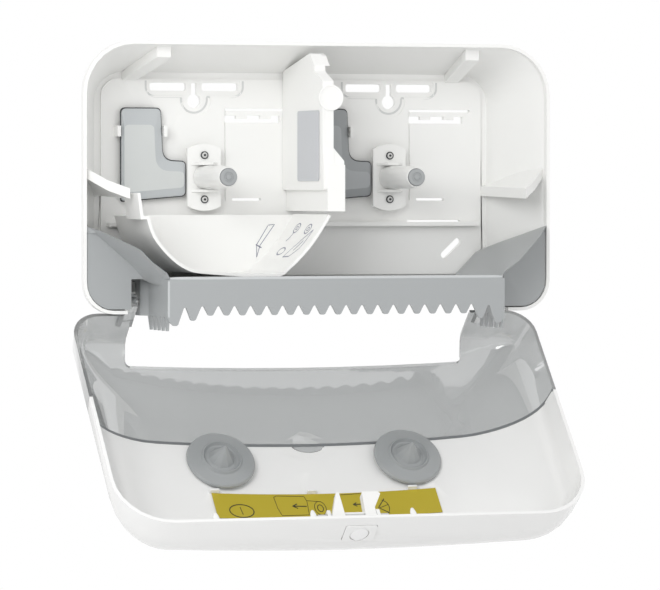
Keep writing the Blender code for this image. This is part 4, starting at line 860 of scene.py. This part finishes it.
def catch(x):
    """Four ovals from the foot up, in shut-cover coordinates: share of height, two radii."""
    rings = []
    for share, wide, thick in catch_steps:
        height = (catch_foot - share * catch_height) * MM
        rings.append(np.stack([x * MM + wide * MM * np.cos(catch_turn),
                               catch_depth * MM + thick * MM * np.sin(catch_turn),
                               np.full(catch_turn.shape, height)], axis=1))
    return opened(np.array(rings))


skin("cover_catches", [catch(x) for x in catch_places], white_plastic, "cover")

# %% [markdown]
# The tear bar has a rounded ridge along its top edge and a rounded corner at its left end.
# Both are rods laid against the edges of the imported bar: a circle carried along a route.
# They are a paler grey than the bar, a painted highlight along the rounded edges.

# %% Ridge and corner of the tear bar
bar_half = 129.5 * MM
bar_top = -74.0 * MM
bar_front = 107.0 * MM


def rod(route, radius, steps=16):
    """Circles round the points of a straight or gently bent route."""
    route = np.array(route, float)
    ahead = np.gradient(route, axis=0)
    ahead /= np.linalg.norm(ahead, axis=1, keepdims=True)
    side = np.cross(ahead, np.array([0.0, 1.0, 0.0]))
    side /= np.linalg.norm(side, axis=1, keepdims=True)
    upward = np.cross(side, ahead)
    turn = np.linspace(0.0, 2.0 * np.pi, steps, endpoint=False)[None, :, None]
    radius = np.reshape(np.broadcast_to(radius, (len(route),)), (-1, 1, 1))
    return (route[:, None] + radius * np.cos(turn) * side[:, None]
            + radius * np.sin(turn) * upward[:, None])


ridge_radius = 1.5 * MM
ridge_points = 40
ridge_rise = 0.4
end_sharpness = 60
end_least = 0.05
ridge_x = np.linspace(-bar_half + ridge_radius, bar_half - ridge_radius, ridge_points)
ridge_taper = np.sqrt(np.clip(1.0 - (np.abs(ridge_x) / bar_half) ** end_sharpness, end_least,
                              1.0))
ridge_route = np.stack([ridge_x, np.full(ridge_points, -bar_front + ridge_radius),
                        np.full(ridge_points, bar_top + ridge_rise * ridge_radius)], axis=1)
corner_radius = 0.9 * MM
corner_points = 20
corner_start = 1.0 * MM
corner_end = 27.0 * MM
corner_in = 0.7
corner_back = 0.8
corner_z = np.linspace(bar_top - corner_start, bar_top - corner_end, corner_points)
corner_route = np.stack([np.full(corner_points, -bar_half + corner_in * corner_radius),
                         np.full(corner_points, -bar_front + corner_back * corner_radius),
                         corner_z], axis=1)
skin("tear_bar_ridge", [rod(ridge_route, ridge_radius * ridge_taper),
                        rod(corner_route, corner_radius)], bar_painted_highlight, "back_unit")

# %% [markdown]
# The cut edge of the clear window looks brighter than its faces, because it gathers the light
# from inside the sheet. A narrow pale strip along the mouth is that light as a painted
# highlight.

# %% Painted highlight on the edge of the mouth
mouth_edge = -82.4
mouth_half = 129.0
strip_rise = 0.8
strip_width = 1.3
strip_points = 60
window_near = 90.0 * MM
window_far = 130.0 * MM
strip_z = mouth_edge + strip_rise
strip = ribbon(line((-mouth_half, strip_z), (mouth_half, strip_z), steps=strip_points),
               strip_width)
skin("mouth_edge_painted_highlight", [on_cover("cover_window", strip, window_near, window_far)],
     mouth_painted_highlight, "cover")
